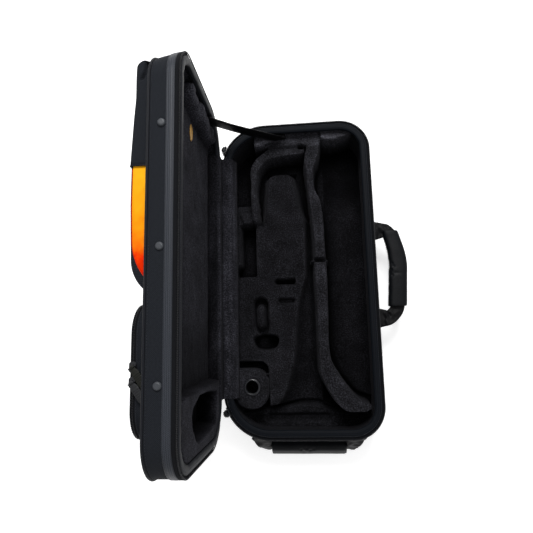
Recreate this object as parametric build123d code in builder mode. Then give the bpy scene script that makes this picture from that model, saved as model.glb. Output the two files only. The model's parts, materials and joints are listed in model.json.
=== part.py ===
from build123d import *
from math import cos, radians, sin
import os

# A soft trumpet case, standing on its base with the lid open at a right angle.
# Millimetres. +X is the side with the carrying handle, -X the hinge side, +Y the end where the
# trumpet's bow lies, -Y the end where its bell opens, and z = 0 is what the feet stand on.

os.makedirs("parts", exist_ok=True)

# ---- Driving dimensions ----
case_width = 270.0
case_length = 560.0
base_depth = 100.0
lid_depth = 42.0
hinge_corner = 80.0  # plan radius of the two corners beside the hinge
free_corner = 54.0  # plan radius of the two corners of the opening side
foot_height = 5.0
rim_z = foot_height + base_depth  # the parting plane, where the zip runs
hinge_x = -case_width / 2

# Layers of both walls, as offsets from the outline, negative inwards
cover_thickness = 1.5
layer_gap = 0.3
shell_thickness = 6.2
shell_floor = 5.0
liner_thickness = 3.2
liner_floor = 2.0
shell_out = -cover_thickness - layer_gap
shell_in = shell_out - shell_thickness
liner_out = shell_in - layer_gap
liner_in = liner_out - liner_thickness
lip_out = -4.2
lip_in = -17.0

# Depths below the parting plane, the same in both halves
lip_start = 0.4
lip_end = 8.0
lip_round = 3.0
cover_round = 3.0

# Piping over the outer edge of each half
piping_radius = 1.8
piping_shift = 0.46  # the cord's centre lies this far outside both faces of the edge

# Main zip
coil_start, coil_end = 1.0, 3.4
coil_in, coil_out = -1.4, 1.0
tape_end = 19.5
tape_in, tape_out = 0.3, 1.0
zip_skip = {"base": 3.0, "lid": 16.0}  # no zip nearer the hinge wall than this
park_angle = 26.0  # where the sliders stand, round the hinge corner from the hinge wall
slider_length, slider_width, slider_corner = 13.0, 9.0, 3.0
slider_plates = ((-3.4, -2.2), (1.6, 3.2))  # inside and outside the zip
slider_neck = (3.0, 1.2)
crown_height = 5.9  # of the bar that the pull hangs on, above the cover
crown_half = 4.4
crown_post = 1.4
crown_bar_radius = 0.9
pull_eye_radius = 2.1
pull_eye_hole = 1.3
pull_eye_half = 3.0
pull_width = 8.0
pull_neck = 3.2  # where the pull gets its full width, from the bar
pull_length = 27.0
pull_thickness = 1.6

# Hinge: an outer cloth and an inner plush strip, each in two halves
hinge_half_length = 200.0
cloth_start, cloth_end = 2.0, 24.0
cloth_gap, cloth_thickness = 0.3, 1.0
strip_half_length = 206.0
strip_start, strip_top = 2.5, 18.9  # distance from the hinge line
strip_thickness = 1.2
strip_face = 0.3
strip_foot = {"base": (25.0, 21.2), "lid": (21.0, 21.2)}  # from the hinge line, and depth

# Insert levels, as depths below the rim
insert_bottom = 88.0
valve_bed_top = 42.0
bow_floor_top = 56.0
block_top = 24.0
divider_top = 16.0
mouthpiece_top = 22.0
accessory_floor_top = 80.0
insert_clear = -11.8

# Bell channel and flare, seen from above
channel_left, channel_right = -5.0, 29.0
divider_right = 48.0
left_flare = [(-5, -60), (-13, -125), (-22, -186), (-35, -214), (-61, -230)]
right_flare = [(29, -60), (30, -130), (36, -188), (52, -220), (90, -235)]
divider_flare = [(48, -30), (56, -125), (71, -180), (94, -207), (122, -219)]
flare_start = (0, -1)  # the direction of all three curves where they begin
left_flare_end, right_flare_end = (-1, -0.35), (1, -0.3)
flare_foot_y = -235.0
bell_slope_start = -60.0
bell_slope = [(-148, 54), (-186, 62), (-209, 74), (-226, 88)]  # y, and depth of the floor there

# Bow cavity and the blocks round it
bow_left, bow_bottom, bow_top = -68.0, 100.0, 206.0
bow_corner = 38.0
bow_wall = 12.0
block_start_y, block_end_y = 216.5, 259.0
end_block_drop = 2.0

# Valve bed
bed_bottom = -154.0
slot_depth = 16.0
# centre x, centre y, width, length and depth of each
deep_pockets = [(-87.5, 55.0, 25.0, 70.0, 36.0), (-60.5, -111.5, 34.0, 17.0, 30.0)]
finger_slots = [(-26.0, -12.0, 34.0, 8.0), (-23.0, -46.0, 28.0, 8.0)]
oval_slot = (-69.0, -75.0, 16.0, 50.0)

# Mouthpiece holder
holder_centre = (-91.0, -197.5)
holder_size = (59.0, 69.0)
holder_corner = 27.0
holder_hole = (-88.0, -195.0)
holder_hole_radius = 11.0
holder_hole_depth = 52.0
ring_sleeve_radius = 13.0
ring_sleeve_depth = 10.0
ring_flange_radius = 14.6
ring_flange = 1.5

# Lid lining
panel_top = 22.0
panel_bottom = lid_depth - cover_thickness - shell_floor - liner_floor
bolster = (35.0, 175.0, 228.0, 253.0, 3.0)  # from and to up the lid, from and to along it, depth
bolster_round = 3.0
bell_pad_top = 0.8
bell_pad_edge_y = -180.0
bell_pad_from_hinge = 24.0
bell_recess = (67.0, 188.0, -248.0)  # from and to up the lid, and where it ends along the lid
badge_place = (138.0, 207.0)
badge_radii = (6.5, 14.5)
badge_thickness = 1.2

# Studs and feet
stud_radius = 5.2
stud_height = 3.5
stud_depth = 25.0
stud_places = (158.0, -1.5, -166.0)
foot_radius = 8.0
foot_places = (95.0, 215.0)  # four near the corners, and a fifth in the middle

# Stay strap between the two halves, at the bow end
strap_width = 25.0
strap_thickness = 1.4
strap_y = 257.4
strap_lid = (-146.0, 80.0)  # x, and height over the rim
strap_base = (-27.0, -12.0)
anchor_width, anchor_length, anchor_thickness = 22.0, 12.6, 8.0
lid_anchor = (-150.0, 80.0)
base_anchor = (-27.0, -16.0)

# Music pocket on the lid's face, with a hood that folds over its mouth
music_low, music_high = 30.0, 250.0
music_toe, music_shoulder, music_bend, music_mouth = -57.0, -12.0, 110.0, 228.0
music_height, music_mouth_height = 28.0, 22.3
music_sheet = 1.6
hood_clear = 0.4
hood_thickness = 1.5
hood_tip = 258.0
hood_bulge = 230.0
hood_base = lid_depth + hood_clear
hood_face = hood_base + hood_thickness

# Accessory pocket on the lid's face
pocket_low, pocket_high = 60.0, 250.0
pocket_start, pocket_end = -233.0, -68.0
pocket_corner = 38.0
pocket_height = 24.0
pocket_skin = 1.6
pocket_panel = 3.0
pocket_zip_height = 19.5
pocket_zip_half = 2.0
pocket_zip_thickness = 1.2
pocket_piping_radius = 1.4
pocket_piping_shift = 1.7
pocket_slider_places = {"bow_side": -145.0, "bell_side": -163.0}
pocket_slider_plates = ((1.9, 3.4),)
pocket_crown_height = 5.8
pocket_crown_turn = -56.0  # of the bar from the zip's own direction

# Handles
handle_web_width = 20.0
handle_web_thickness = 5.0
handle_reach = 38.5
handle_corner = 12.0
handle_pivot_gap = 4.1
handle_pivot_z = 60.0
grip_width = 31.0
grip_thickness = 22.0
grip_round = 8.0
slot_clear = 0.4
grip_end_round = 3.0
side_half_span, side_grip_half = 80.0, 66.0
end_half_span, end_grip_half = 77.5, 63.0
end_handle_x = 7.0
end_handle_droop = 58.0  # how far the end handle hangs below level
patch_length, patch_height, patch_thickness = 26.0, 34.0, 1.0

# Both halves share one frame: x from the hinge side to the free side, z into the half's depth
base_half = Plane(origin=(0, 0, rim_z), x_dir=(1, 0, 0), z_dir=(0, 0, -1))
lid_half = Plane(origin=(hinge_x, 0, rim_z + case_width / 2), x_dir=(0, 0, 1), z_dir=(-1, 0, 0))
halves = (("base", base_half, base_depth), ("lid", lid_half, lid_depth))


def finish(piece, name):
    """Label a finished piece and write it."""
    piece.part.label = name
    export_step(piece.part, f"parts/{name}.step")


def case_outline(grow):
    """The plan that both halves share, grown outwards by the given amount."""
    with BuildSketch() as plan:
        Rectangle(case_width + 2 * grow, case_length + 2 * grow)
        fillet(plan.vertices().group_by(Axis.X)[0], hinge_corner + grow)
        fillet(plan.vertices().group_by(Axis.X)[-1], free_corner + grow)
    return plan.sketch


def insert_level(depth):
    """A plane at the given depth below the base's rim, facing up."""
    return Plane.XY.offset(rim_z - depth)


def nudged(points, along_x, along_y):
    """The same points, moved a little."""
    return [(x + along_x, y + along_y) for x, y in points]


def up_the_lid(height):
    """A plane across the open lid, at a height over the hinge: x along the lid, y its depth."""
    return Plane(origin=(hinge_x, 0, rim_z + height), x_dir=(0, 1, 0), z_dir=(0, 0, 1))


def lid_spot(height, along):
    """Where a point up and along the lid lies in the lid's own plane."""
    return (height - case_width / 2, along)


# ---- The two halves: cover, shell, liner, lip, zip and piping ----
for half_name, half, depth in halves:
    into_half = Axis(half.origin, half.z_dir)

    with BuildPart() as cover:
        with BuildSketch(half.offset(lip_end)):
            add(case_outline(0))
        extrude(amount=depth - lip_end)
        fillet(cover.faces().sort_by(into_half)[-1].edges(), cover_round)
        with BuildSketch(half.offset(lip_end)):
            add(case_outline(-cover_thickness))
        extrude(amount=depth - lip_end - cover_thickness, mode=Mode.SUBTRACT)
    finish(cover, f"{half_name}_cover")

    shell_end = depth - cover_thickness
    with BuildPart() as shell:
        with BuildSketch(half.offset(lip_end)):
            add(case_outline(shell_out))
        extrude(amount=shell_end - lip_end)
        with BuildSketch(half.offset(lip_end)):
            add(case_outline(shell_in))
        extrude(amount=shell_end - shell_floor - lip_end, mode=Mode.SUBTRACT)
    finish(shell, f"{half_name}_shell")

    liner_end = shell_end - shell_floor
    with BuildPart() as liner:
        with BuildSketch(half.offset(lip_end)):
            add(case_outline(liner_out))
        extrude(amount=liner_end - lip_end)
        with BuildSketch(half.offset(lip_end)):
            add(case_outline(liner_in))
        extrude(amount=liner_end - liner_floor - lip_end, mode=Mode.SUBTRACT)
    finish(liner, f"{half_name}_liner")

    with BuildPart() as lip:
        with BuildSketch(half.offset(lip_start)):
            add(case_outline(lip_out))
            add(case_outline(lip_in), mode=Mode.SUBTRACT)
        extrude(amount=lip_end - lip_start)
        fillet(lip.faces().sort_by(into_half)[0].edges(), lip_round)
        with BuildSketch(half):
            with Locations((hinge_x, 0)):
                Rectangle(2 * (strip_top + layer_gap), 2 * (strip_half_length + layer_gap))
        extrude(amount=strip_face + strip_thickness, mode=Mode.SUBTRACT)
    finish(lip, f"{half_name}_rim_lip")

    zip_bands = {
        "zip_coil": (coil_in, coil_out, coil_start, coil_end),
        "zip_tape": (tape_in, tape_out, coil_end, tape_end),
    }
    for band_name, (band_in, band_out, band_start, band_end) in zip_bands.items():
        with BuildPart() as zip_band:
            with BuildSketch(half.offset(band_start)):
                add(case_outline(band_out))
                add(case_outline(band_in), mode=Mode.SUBTRACT)
                with Locations((hinge_x, 0)):
                    Rectangle(2 * zip_skip[half_name], 2 * case_length, mode=Mode.SUBTRACT)
            extrude(amount=band_end - band_start)
        finish(zip_band, f"{half_name}_{band_name}")

    seam = (half.offset(depth + piping_shift) * case_outline(piping_shift)).face().outer_wire()
    with BuildPart() as piping:
        with BuildSketch(Plane(seam @ 0, z_dir=seam % 0)):
            Circle(piping_radius)
        sweep(path=seam)
    finish(piping, f"{half_name}_piping")

    # Outer hinge cloth, a flat strip on the hinge wall
    with BuildPart() as hinge_cloth:
        with BuildSketch(half.offset(cloth_start)):
            with Locations((hinge_x - cloth_gap - cloth_thickness / 2, 0)):
                Rectangle(cloth_thickness, 2 * hinge_half_length)
        extrude(amount=cloth_end - cloth_start)
    finish(hinge_cloth, f"{half_name}_hinge_cloth")

    # Inner hinge strip, lying on the lip and then sloping down into the half
    foot_from_hinge, foot_depth = strip_foot[half_name]
    across = Plane(origin=half.origin, x_dir=half.x_dir, z_dir=-half.y_dir)
    with BuildPart() as hinge_strip:
        with BuildSketch(across):
            with BuildLine():
                FilletPolyline(
                    (hinge_x + strip_start, strip_face),
                    (hinge_x + strip_top, strip_face),
                    (hinge_x + foot_from_hinge, foot_depth),
                    radius=2 * strip_thickness,
                )
                offset(amount=strip_thickness, side=Side.LEFT)
            make_face()
        extrude(amount=strip_half_length, both=True)
    finish(hinge_strip, f"{half_name}_hinge_strip")

# ---- Base: feet, insert and mouthpiece holder ----
with BuildPart() as base_feet:
    with BuildSketch():
        with GridLocations(2 * foot_places[0], 2 * foot_places[1], 2, 2):
            Circle(foot_radius)
        Circle(foot_radius)
    extrude(amount=foot_height)
    fillet(base_feet.faces().group_by(Axis.Z)[0].edges(), foot_height / 2)
finish(base_feet, "base_feet")

liner_floor_depth = base_depth - cover_thickness - shell_floor - liner_floor
with BuildPart() as insert_floor_pad:
    with BuildSketch(insert_level(liner_floor_depth)):
        add(case_outline(insert_clear))
    extrude(amount=liner_floor_depth - insert_bottom)
finish(insert_floor_pad, "insert_floor_pad")

with BuildPart() as valve_bed:
    with BuildSketch(insert_level(insert_bottom)):
        with BuildLine():
            flare = Spline(*left_flare, tangents=(flare_start, left_flare_end))
            Polyline(
                flare @ 1,
                ((flare @ 1).X, bed_bottom),
                (-case_width, bed_bottom),
                (-case_width, bow_bottom - layer_gap),
                (channel_left, bow_bottom - layer_gap),
                flare @ 0,
            )
        make_face()
        add(case_outline(insert_clear), mode=Mode.INTERSECT)
    extrude(amount=insert_bottom - valve_bed_top)
    with BuildSketch(insert_level(valve_bed_top)):
        for centre_x, centre_y, slot_width, slot_length in finger_slots:
            with Locations((centre_x, centre_y)):
                SlotOverall(slot_width, slot_length)
        with Locations(oval_slot[:2]):
            SlotOverall(oval_slot[3], oval_slot[2], rotation=90)
    extrude(amount=-slot_depth, mode=Mode.SUBTRACT)
    for centre_x, centre_y, pocket_width, pocket_length, pocket_depth in deep_pockets:
        with BuildSketch(insert_level(valve_bed_top)):
            with Locations((centre_x, centre_y)):
                RectangleRounded(pocket_width, pocket_length, min(pocket_width, pocket_length) / 3)
        extrude(amount=-pocket_depth, mode=Mode.SUBTRACT)
finish(valve_bed, "valve_bed")

# The pad under the bell tube, its top sinking towards the bell's mouth
with BuildPart() as bell_channel_pad:
    with BuildSketch(insert_level(insert_bottom)):
        with BuildLine():
            left_side = Spline(
                *nudged(left_flare, layer_gap, -layer_gap), tangents=(flare_start, left_flare_end)
            )
            right_side = Spline(
                *nudged(right_flare, -layer_gap, -layer_gap), tangents=(flare_start, right_flare_end)
            )
            Line(left_side @ 1, right_side @ 1)
            Polyline(
                left_side @ 0,
                ((left_side @ 0).X, bow_bottom - layer_gap),
                ((right_side @ 0).X, bow_bottom - layer_gap),
                right_side @ 0,
            )
        make_face()
    extrude(amount=insert_bottom - valve_bed_top)
    with BuildSketch(Plane(origin=(0, 0, rim_z), x_dir=(0, 1, 0), z_dir=(1, 0, 0))):
        with BuildLine():
            Polyline(
                (bell_slope_start, -valve_bed_top),
                *[(y, -floor_depth) for y, floor_depth in bell_slope],
                (-case_length, -insert_bottom),
                (-case_length, 0),
                (bell_slope_start, 0),
                close=True,
            )
        make_face()
    extrude(amount=case_width, both=True, mode=Mode.SUBTRACT)
finish(bell_channel_pad, "bell_channel_pad")

# The long wall between the trumpet and the accessory compartment
with BuildPart() as bell_divider:
    with BuildSketch(insert_level(insert_bottom)):
        with BuildLine():
            inner_side = Spline(*right_flare, tangents=(flare_start, right_flare_end))
            outer_side = Spline(*divider_flare, tangents=(flare_start, right_flare_end))
            Polyline(
                inner_side @ 0,
                (channel_right, block_end_y),
                (divider_right, block_end_y),
                outer_side @ 0,
            )
            Polyline(
                inner_side @ 1,
                ((outer_side @ 1).X, flare_foot_y),
                outer_side @ 1,
            )
        make_face()
        add(case_outline(insert_clear), mode=Mode.INTERSECT)
    extrude(amount=insert_bottom - divider_top)
finish(bell_divider, "bell_divider")

with BuildPart() as bow_surround:
    with BuildSketch(insert_level(insert_bottom)):
        with BuildLine():
            cavity = FilletPolyline(
                (bow_left, bow_bottom),
                (bow_left, bow_top),
                (channel_right - layer_gap, bow_top),
                radius=bow_corner,
            )
            Polyline(
                cavity @ 1,
                (channel_right - layer_gap, block_start_y - layer_gap),
                (bow_left - bow_wall, block_start_y - layer_gap),
                (bow_left - bow_wall, bow_bottom),
                cavity @ 0,
            )
        make_face()
    extrude(amount=insert_bottom - block_top)
finish(bow_surround, "bow_surround")

with BuildPart() as bow_floor_pad:
    with BuildSketch(insert_level(insert_bottom)):
        with BuildLine():
            cavity = FilletPolyline(
                (bow_left + layer_gap, bow_bottom),
                (bow_left + layer_gap, bow_top - layer_gap),
                (channel_right - layer_gap, bow_top - layer_gap),
                radius=bow_corner,
            )
            Polyline(cavity @ 1, (channel_right - layer_gap, bow_bottom), cavity @ 0)
        make_face()
    extrude(amount=insert_bottom - bow_floor_top)
finish(bow_floor_pad, "bow_floor_pad")

with BuildPart() as bow_end_block:
    with BuildSketch(insert_level(insert_bottom)):
        with Locations((bow_left - bow_wall, block_start_y)):
            Rectangle(
                channel_right - layer_gap - bow_left + bow_wall,
                block_end_y - block_start_y,
                align=(Align.MIN, Align.MIN),
            )
    extrude(amount=insert_bottom - block_top - end_block_drop)
finish(bow_end_block, "bow_end_block")

with BuildPart() as accessory_floor_pad:
    with BuildSketch(insert_level(insert_bottom)):
        with BuildLine():
            wall_side = Spline(
                *nudged(divider_flare, layer_gap, layer_gap), tangents=(flare_start, right_flare_end)
            )
            Polyline(
                wall_side @ 1,
                (case_width, (wall_side @ 1).Y),
                (case_width, block_end_y),
                ((wall_side @ 0).X, block_end_y),
                wall_side @ 0,
            )
        make_face()
        add(case_outline(insert_clear), mode=Mode.INTERSECT)
    extrude(amount=insert_bottom - accessory_floor_top)
finish(accessory_floor_pad, "accessory_floor_pad")

# Mouthpiece holder: a block rounded on its inner side, with a lined hole
with BuildPart() as mouthpiece_block:
    with BuildSketch(insert_level(insert_bottom)) as holder_plan:
        with Locations(holder_centre):
            Rectangle(*holder_size)
        fillet(holder_plan.vertices().group_by(Axis.X)[-1], holder_corner)
        add(case_outline(insert_clear), mode=Mode.INTERSECT)
    extrude(amount=insert_bottom - mouthpiece_top)
    with Locations((*holder_hole, rim_z - mouthpiece_top)):
        CounterBoreHole(
            radius=holder_hole_radius,
            counter_bore_radius=ring_sleeve_radius + layer_gap,
            counter_bore_depth=ring_sleeve_depth + layer_gap,
            depth=holder_hole_depth,
        )
finish(mouthpiece_block, "mouthpiece_block")

with BuildPart() as mouthpiece_ring:
    with BuildSketch(insert_level(mouthpiece_top)):
        with Locations(holder_hole):
            Circle(ring_flange_radius)
    extrude(amount=ring_flange)
    fillet(mouthpiece_ring.edges().group_by(Axis.Z)[-1], ring_flange / 2)
    with BuildSketch(insert_level(mouthpiece_top)):
        with Locations(holder_hole):
            Circle(ring_sleeve_radius)
    extrude(amount=-ring_sleeve_depth)
    with Locations((*holder_hole, rim_z - mouthpiece_top + ring_flange)):
        Hole(holder_hole_radius)
finish(mouthpiece_ring, "mouthpiece_ring")

# ---- Lid lining ----
bell_pocket_low, bell_pocket_high, bell_pocket_end = bell_recess
with BuildPart() as lid_panel_pad:
    with BuildSketch(lid_half.offset(panel_top)):
        add(case_outline(insert_clear))
        with Locations(lid_spot(case_width / 2, bell_pad_edge_y)):
            Rectangle(2 * case_width, case_length, align=(Align.CENTER, Align.MAX), mode=Mode.SUBTRACT)
    extrude(amount=panel_bottom - panel_top)
finish(lid_panel_pad, "lid_panel_pad")

# The pad at the bell end: a wide layer level with the panel, and one on it that reaches the rim
bell_pad_layers = (
    (panel_top, panel_bottom, insert_clear, -insert_clear),
    (bell_pad_top, panel_top, lip_in - layer_gap, bell_pad_from_hinge),
)
with BuildPart() as lid_bell_pad:
    for layer_top, layer_bottom, layer_grow, layer_from_hinge in bell_pad_layers:
        with BuildSketch(lid_half.offset(layer_top)):
            add(case_outline(layer_grow))
            with Locations(lid_spot(case_width / 2, bell_pad_edge_y - layer_gap)):
                Rectangle(
                    2 * case_width, 2 * case_length, align=(Align.CENTER, Align.MIN), mode=Mode.SUBTRACT
                )
            with Locations(lid_spot(0, 0)):
                Rectangle(2 * layer_from_hinge, 2 * case_length, mode=Mode.SUBTRACT)
            with Locations(lid_spot(bell_pocket_low, bell_pocket_end)):
                Rectangle(
                    bell_pocket_high - bell_pocket_low,
                    case_length,
                    align=(Align.MIN, Align.MIN),
                    mode=Mode.SUBTRACT,
                )
        extrude(amount=layer_bottom - layer_top)
finish(lid_bell_pad, "lid_bell_pad")

bolster_low, bolster_high, bolster_start, bolster_end, bolster_top = bolster
with BuildPart() as lid_bow_bolster:
    with BuildSketch(lid_half.offset(bolster_top)):
        with Locations(lid_spot(bolster_low, bolster_start)):
            Rectangle(
                bolster_high - bolster_low,
                bolster_end - bolster_start,
                align=(Align.MIN, Align.MIN),
            )
        add(case_outline(lip_in - layer_gap), mode=Mode.INTERSECT)
    extrude(amount=panel_top - bolster_top)
    fillet(lid_bow_bolster.faces().sort_by(Axis.X)[-1].edges(), bolster_round)
finish(lid_bow_bolster, "lid_bow_bolster")

with BuildPart() as lid_badge:
    with BuildSketch(lid_half.offset(panel_top - badge_thickness)):
        with Locations(lid_spot(*badge_place)):
            Ellipse(*badge_radii)
    extrude(amount=badge_thickness)
finish(lid_badge, "lid_badge")

with BuildPart() as lid_studs:
    with BuildSketch(up_the_lid(case_width)):
        for along in stud_places:
            with Locations((along, stud_depth)):
                Circle(stud_radius)
    extrude(amount=stud_height)
    fillet(lid_studs.faces().group_by(Axis.Z)[-1].edges(), stud_height * 0.7)
finish(lid_studs, "lid_studs")

# ---- Stay strap, from the end wall of the lid to the end wall of the base ----
strap_plane = Plane(origin=(0, strap_y, rim_z), x_dir=(1, 0, 0), z_dir=(0, -1, 0))
with BuildPart() as stay_strap:
    with BuildSketch(strap_plane):
        with BuildLine():
            Line(strap_lid, strap_base)
        trace(line_width=strap_width)
    extrude(amount=strap_thickness)
finish(stay_strap, "stay_strap")

for half_name, anchor_centre, turn in (("lid", lid_anchor, 0), ("base", base_anchor, 90)):
    with BuildPart() as strap_anchor:
        with BuildSketch(strap_plane.offset(-layer_gap)):
            with Locations(anchor_centre):
                Rectangle(anchor_length, anchor_width, rotation=turn)
        extrude(amount=-anchor_thickness)
    finish(strap_anchor, f"{half_name}_strap_anchor")


# ---- Music pocket and its hood ----
def pocket_section(shoulder_height, mouth_height, toe, mouth):
    """The pocket's section along the lid: thin at its toe, full at the bend, less at the mouth."""
    with BuildSketch() as section:
        with BuildLine():
            top = Polyline(
                (mouth, lid_depth + mouth_height),
                (music_bend, lid_depth + shoulder_height),
                (music_shoulder, lid_depth + shoulder_height),
            )
            TangentArc(top @ 1, (toe, lid_depth), tangent=(-1, 0))
            Polyline((toe, lid_depth), (mouth, lid_depth), top @ 0)
        make_face()
    return section.sketch


inner_section = pocket_section(
    music_height - music_sheet, music_mouth_height - music_sheet, music_toe + 2 * music_sheet, music_mouth
)
with BuildPart() as music_pocket_face:
    with BuildSketch(up_the_lid(music_low)):
        add(pocket_section(music_height, music_mouth_height, music_toe, music_mouth))
        add(inner_section, mode=Mode.SUBTRACT)
    extrude(amount=music_high - music_low)
finish(music_pocket_face, "music_pocket_face")

for gusset_name, gusset_height in (
    ("music_pocket_outer_gusset", music_high - music_sheet),
    ("music_pocket_hinge_gusset", music_low),
):
    with BuildPart() as gusset:
        with BuildSketch(up_the_lid(gusset_height)):
            add(inner_section)
        extrude(amount=music_sheet)
    finish(gusset, gusset_name)


def hood_section(inset):
    """The hood's section along the lid, shrunk all over by the given amount."""
    with BuildSketch() as section:
        with BuildLine():
            top = Line(
                (music_bend, hood_face + music_height - inset),
                (hood_bulge, hood_face + music_mouth_height - inset),
            )
            TangentArc(top @ 1, (hood_tip - inset, hood_base), tangent=top % 1)
            Polyline((hood_tip - inset, hood_base), (music_bend, hood_base), top @ 0)
        make_face()
    return section.sketch


with BuildPart() as music_pocket_hood:
    with BuildSketch(up_the_lid(music_low - hood_clear - hood_thickness)):
        add(hood_section(0))
    extrude(amount=music_high - music_low + 2 * (hood_clear + hood_thickness))
    with BuildSketch(up_the_lid(music_low - hood_clear)):
        add(hood_section(hood_thickness))
    extrude(amount=music_high - music_low + 2 * hood_clear, mode=Mode.SUBTRACT)
finish(music_pocket_hood, "music_pocket_hood")

# ---- Accessory pocket with its zip ----
pocket_face = lid_half.offset(lid_depth)
pocket_centre = lid_spot((pocket_low + pocket_high) / 2, (pocket_start + pocket_end) / 2)


def pocket_plan(grow):
    """The accessory pocket's rounded plan on the lid's face, grown outwards."""
    with BuildSketch() as plan:
        with Locations(pocket_centre):
            RectangleRounded(
                pocket_high - pocket_low + 2 * grow,
                pocket_end - pocket_start + 2 * grow,
                pocket_corner + grow,
            )
    return plan.sketch


with BuildPart() as accessory_gusset:
    with BuildSketch(pocket_face):
        add(pocket_plan(0))
        add(pocket_plan(-pocket_skin), mode=Mode.SUBTRACT)
    extrude(amount=pocket_height - pocket_panel)
finish(accessory_gusset, "accessory_pocket_gusset")

with BuildPart() as accessory_panel:
    with BuildSketch(pocket_face.offset(pocket_height - pocket_panel)):
        add(pocket_plan(0))
    extrude(amount=pocket_panel)
    fillet(accessory_panel.faces().sort_by(Axis.X)[0].edges(), pocket_panel * 0.8)
finish(accessory_panel, "accessory_pocket_panel")

with BuildPart() as accessory_zip:
    with BuildSketch(pocket_face.offset(pocket_zip_height - pocket_zip_half)):
        add(pocket_plan(layer_gap + pocket_zip_thickness))
        add(pocket_plan(layer_gap), mode=Mode.SUBTRACT)
        with Locations(lid_spot(pocket_low, pocket_centre[1])):
            Rectangle(2 * pocket_corner, case_length, mode=Mode.SUBTRACT)
    extrude(amount=2 * pocket_zip_half)
finish(accessory_zip, "accessory_pocket_zip")

pocket_seam = (pocket_face.offset(pocket_piping_shift) * pocket_plan(pocket_piping_shift)).face()
with BuildPart() as accessory_piping:
    seam = pocket_seam.outer_wire()
    with BuildSketch(Plane(seam @ 0, z_dir=seam % 0)):
        Circle(pocket_piping_radius)
    sweep(path=seam)
finish(accessory_piping, "accessory_pocket_piping")


# ---- Zip sliders and pulls ----
def make_slider(name, seat, plates, crown_turn, bar_height):
    """A slider. Local x of its seat runs along the zip and z out from the case."""
    plate_top = plates[-1][1]
    crown_seat = seat.rotated((0, 0, crown_turn))
    with BuildPart() as slider:
        for bottom, top in plates:
            with BuildSketch(seat.offset(bottom)):
                RectangleRounded(slider_length, slider_width, slider_corner)
            extrude(amount=top - bottom)
        if len(plates) > 1:
            with BuildSketch(seat.offset(plates[0][1])):
                with Locations((slider_length / 2 - slider_neck[0], 0)):
                    Rectangle(*slider_neck)
            extrude(amount=plates[1][0] - plates[0][1])
        with BuildSketch(crown_seat.offset(plate_top)):
            with GridLocations(2 * crown_half, 0, 2, 1):
                Rectangle(crown_post, 2 * crown_bar_radius)
        extrude(amount=bar_height - plate_top + crown_bar_radius)
        with BuildSketch(across_bar(crown_seat, bar_height)):
            Circle(crown_bar_radius)
        extrude(amount=crown_half, both=True)
    finish(slider, name)


def make_pull(name, seat, crown_turn, bar_height):
    """A pull: an eye round the slider's bar and a flat tab along local -y."""
    with BuildPart() as pull:
        side = across_bar(seat.rotated((0, 0, crown_turn)), bar_height)
        with BuildSketch(side):
            Circle(pull_eye_radius)
            Rectangle(pull_neck + pull_eye_radius, pull_thickness, align=(Align.MAX, Align.CENTER))
            Circle(pull_eye_hole, mode=Mode.SUBTRACT)
        extrude(amount=pull_eye_half, both=True)
        with BuildSketch(side):
            with Locations((-pull_neck, 0)):
                Rectangle(pull_length - pull_neck, pull_thickness, align=(Align.MAX, Align.CENTER))
        extrude(amount=pull_width / 2, both=True)
        tab_end = pull.faces().sort_by(Axis(side.origin, -side.x_dir))[-1]
        fillet(tab_end.edges().filter_by(Axis(side.origin, side.y_dir)), pull_width / 3)
    finish(pull, name)


def across_bar(seat, bar_height):
    """The plane across a slider's bar: x along the seat's y, y out from the case."""
    return Plane(seat.offset(bar_height).origin, x_dir=seat.y_dir, z_dir=seat.x_dir)


for end_name, end_side in (("bow_end", 1), ("bell_end", -1)):
    outward = Vector(-cos(radians(park_angle)), end_side * sin(radians(park_angle)), 0)
    corner_centre = Vector(hinge_x + hinge_corner, end_side * (case_length / 2 - hinge_corner), rim_z)
    slider_seat = Plane(
        corner_centre + outward * hinge_corner, x_dir=Vector(0, 0, 1).cross(outward), z_dir=outward
    )
    make_slider(f"zip_slider_{end_name}", slider_seat, slider_plates, 0, crown_height)
    make_pull(f"zip_pull_{end_name}", slider_seat, 0, crown_height)

for side_name, along in pocket_slider_places.items():
    chain = Plane(
        origin=(hinge_x - lid_depth - pocket_zip_height, along, rim_z + pocket_high),
        x_dir=(0, 1, 0),
        z_dir=(0, 0, 1),
    )
    make_slider(
        f"pocket_slider_{side_name}", chain, pocket_slider_plates, pocket_crown_turn, pocket_crown_height
    )
    make_pull(f"pocket_pull_{side_name}", chain, pocket_crown_turn, pocket_crown_height)


# ---- Carrying handles ----
def make_handle(name, pivot, half_span, grip_half):
    """A handle. Local x of its pivot plane runs out from the wall and y along the wall."""
    across_grip = Plane(pivot.origin, x_dir=pivot.x_dir, z_dir=-pivot.y_dir)
    with BuildPart() as webbing:
        with BuildSketch(pivot.offset(-handle_web_thickness / 2)):
            with BuildLine():
                FilletPolyline(
                    (0, half_span),
                    (handle_reach, half_span),
                    (handle_reach, -half_span),
                    (0, -half_span),
                    radius=handle_corner,
                )
            trace(line_width=handle_web_width)
        extrude(amount=handle_web_thickness)
        for root_y in (-half_span, half_span):
            with BuildSketch(across_grip.offset(root_y)):
                Circle(handle_web_thickness / 2)
            extrude(amount=handle_web_width / 2, both=True)
    finish(webbing, f"{name}_handle_webbing")

    with BuildPart() as grip:
        with BuildSketch(across_grip):
            with Locations((handle_reach, 0)):
                RectangleRounded(grip_width, grip_thickness, grip_round)
        extrude(amount=grip_half, both=True)
        fillet(grip.faces().sort_by(Axis(pivot.origin, pivot.y_dir))[0].edges(), grip_end_round)
        fillet(grip.faces().sort_by(Axis(pivot.origin, pivot.y_dir))[-1].edges(), grip_end_round)
        with BuildSketch(across_grip):
            with Locations((handle_reach, 0)):
                Rectangle(handle_web_width + 2 * slot_clear, handle_web_thickness + 2 * slot_clear)
        extrude(amount=grip_half, both=True, mode=Mode.SUBTRACT)
    finish(grip, f"{name}_handle_grip")


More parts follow.
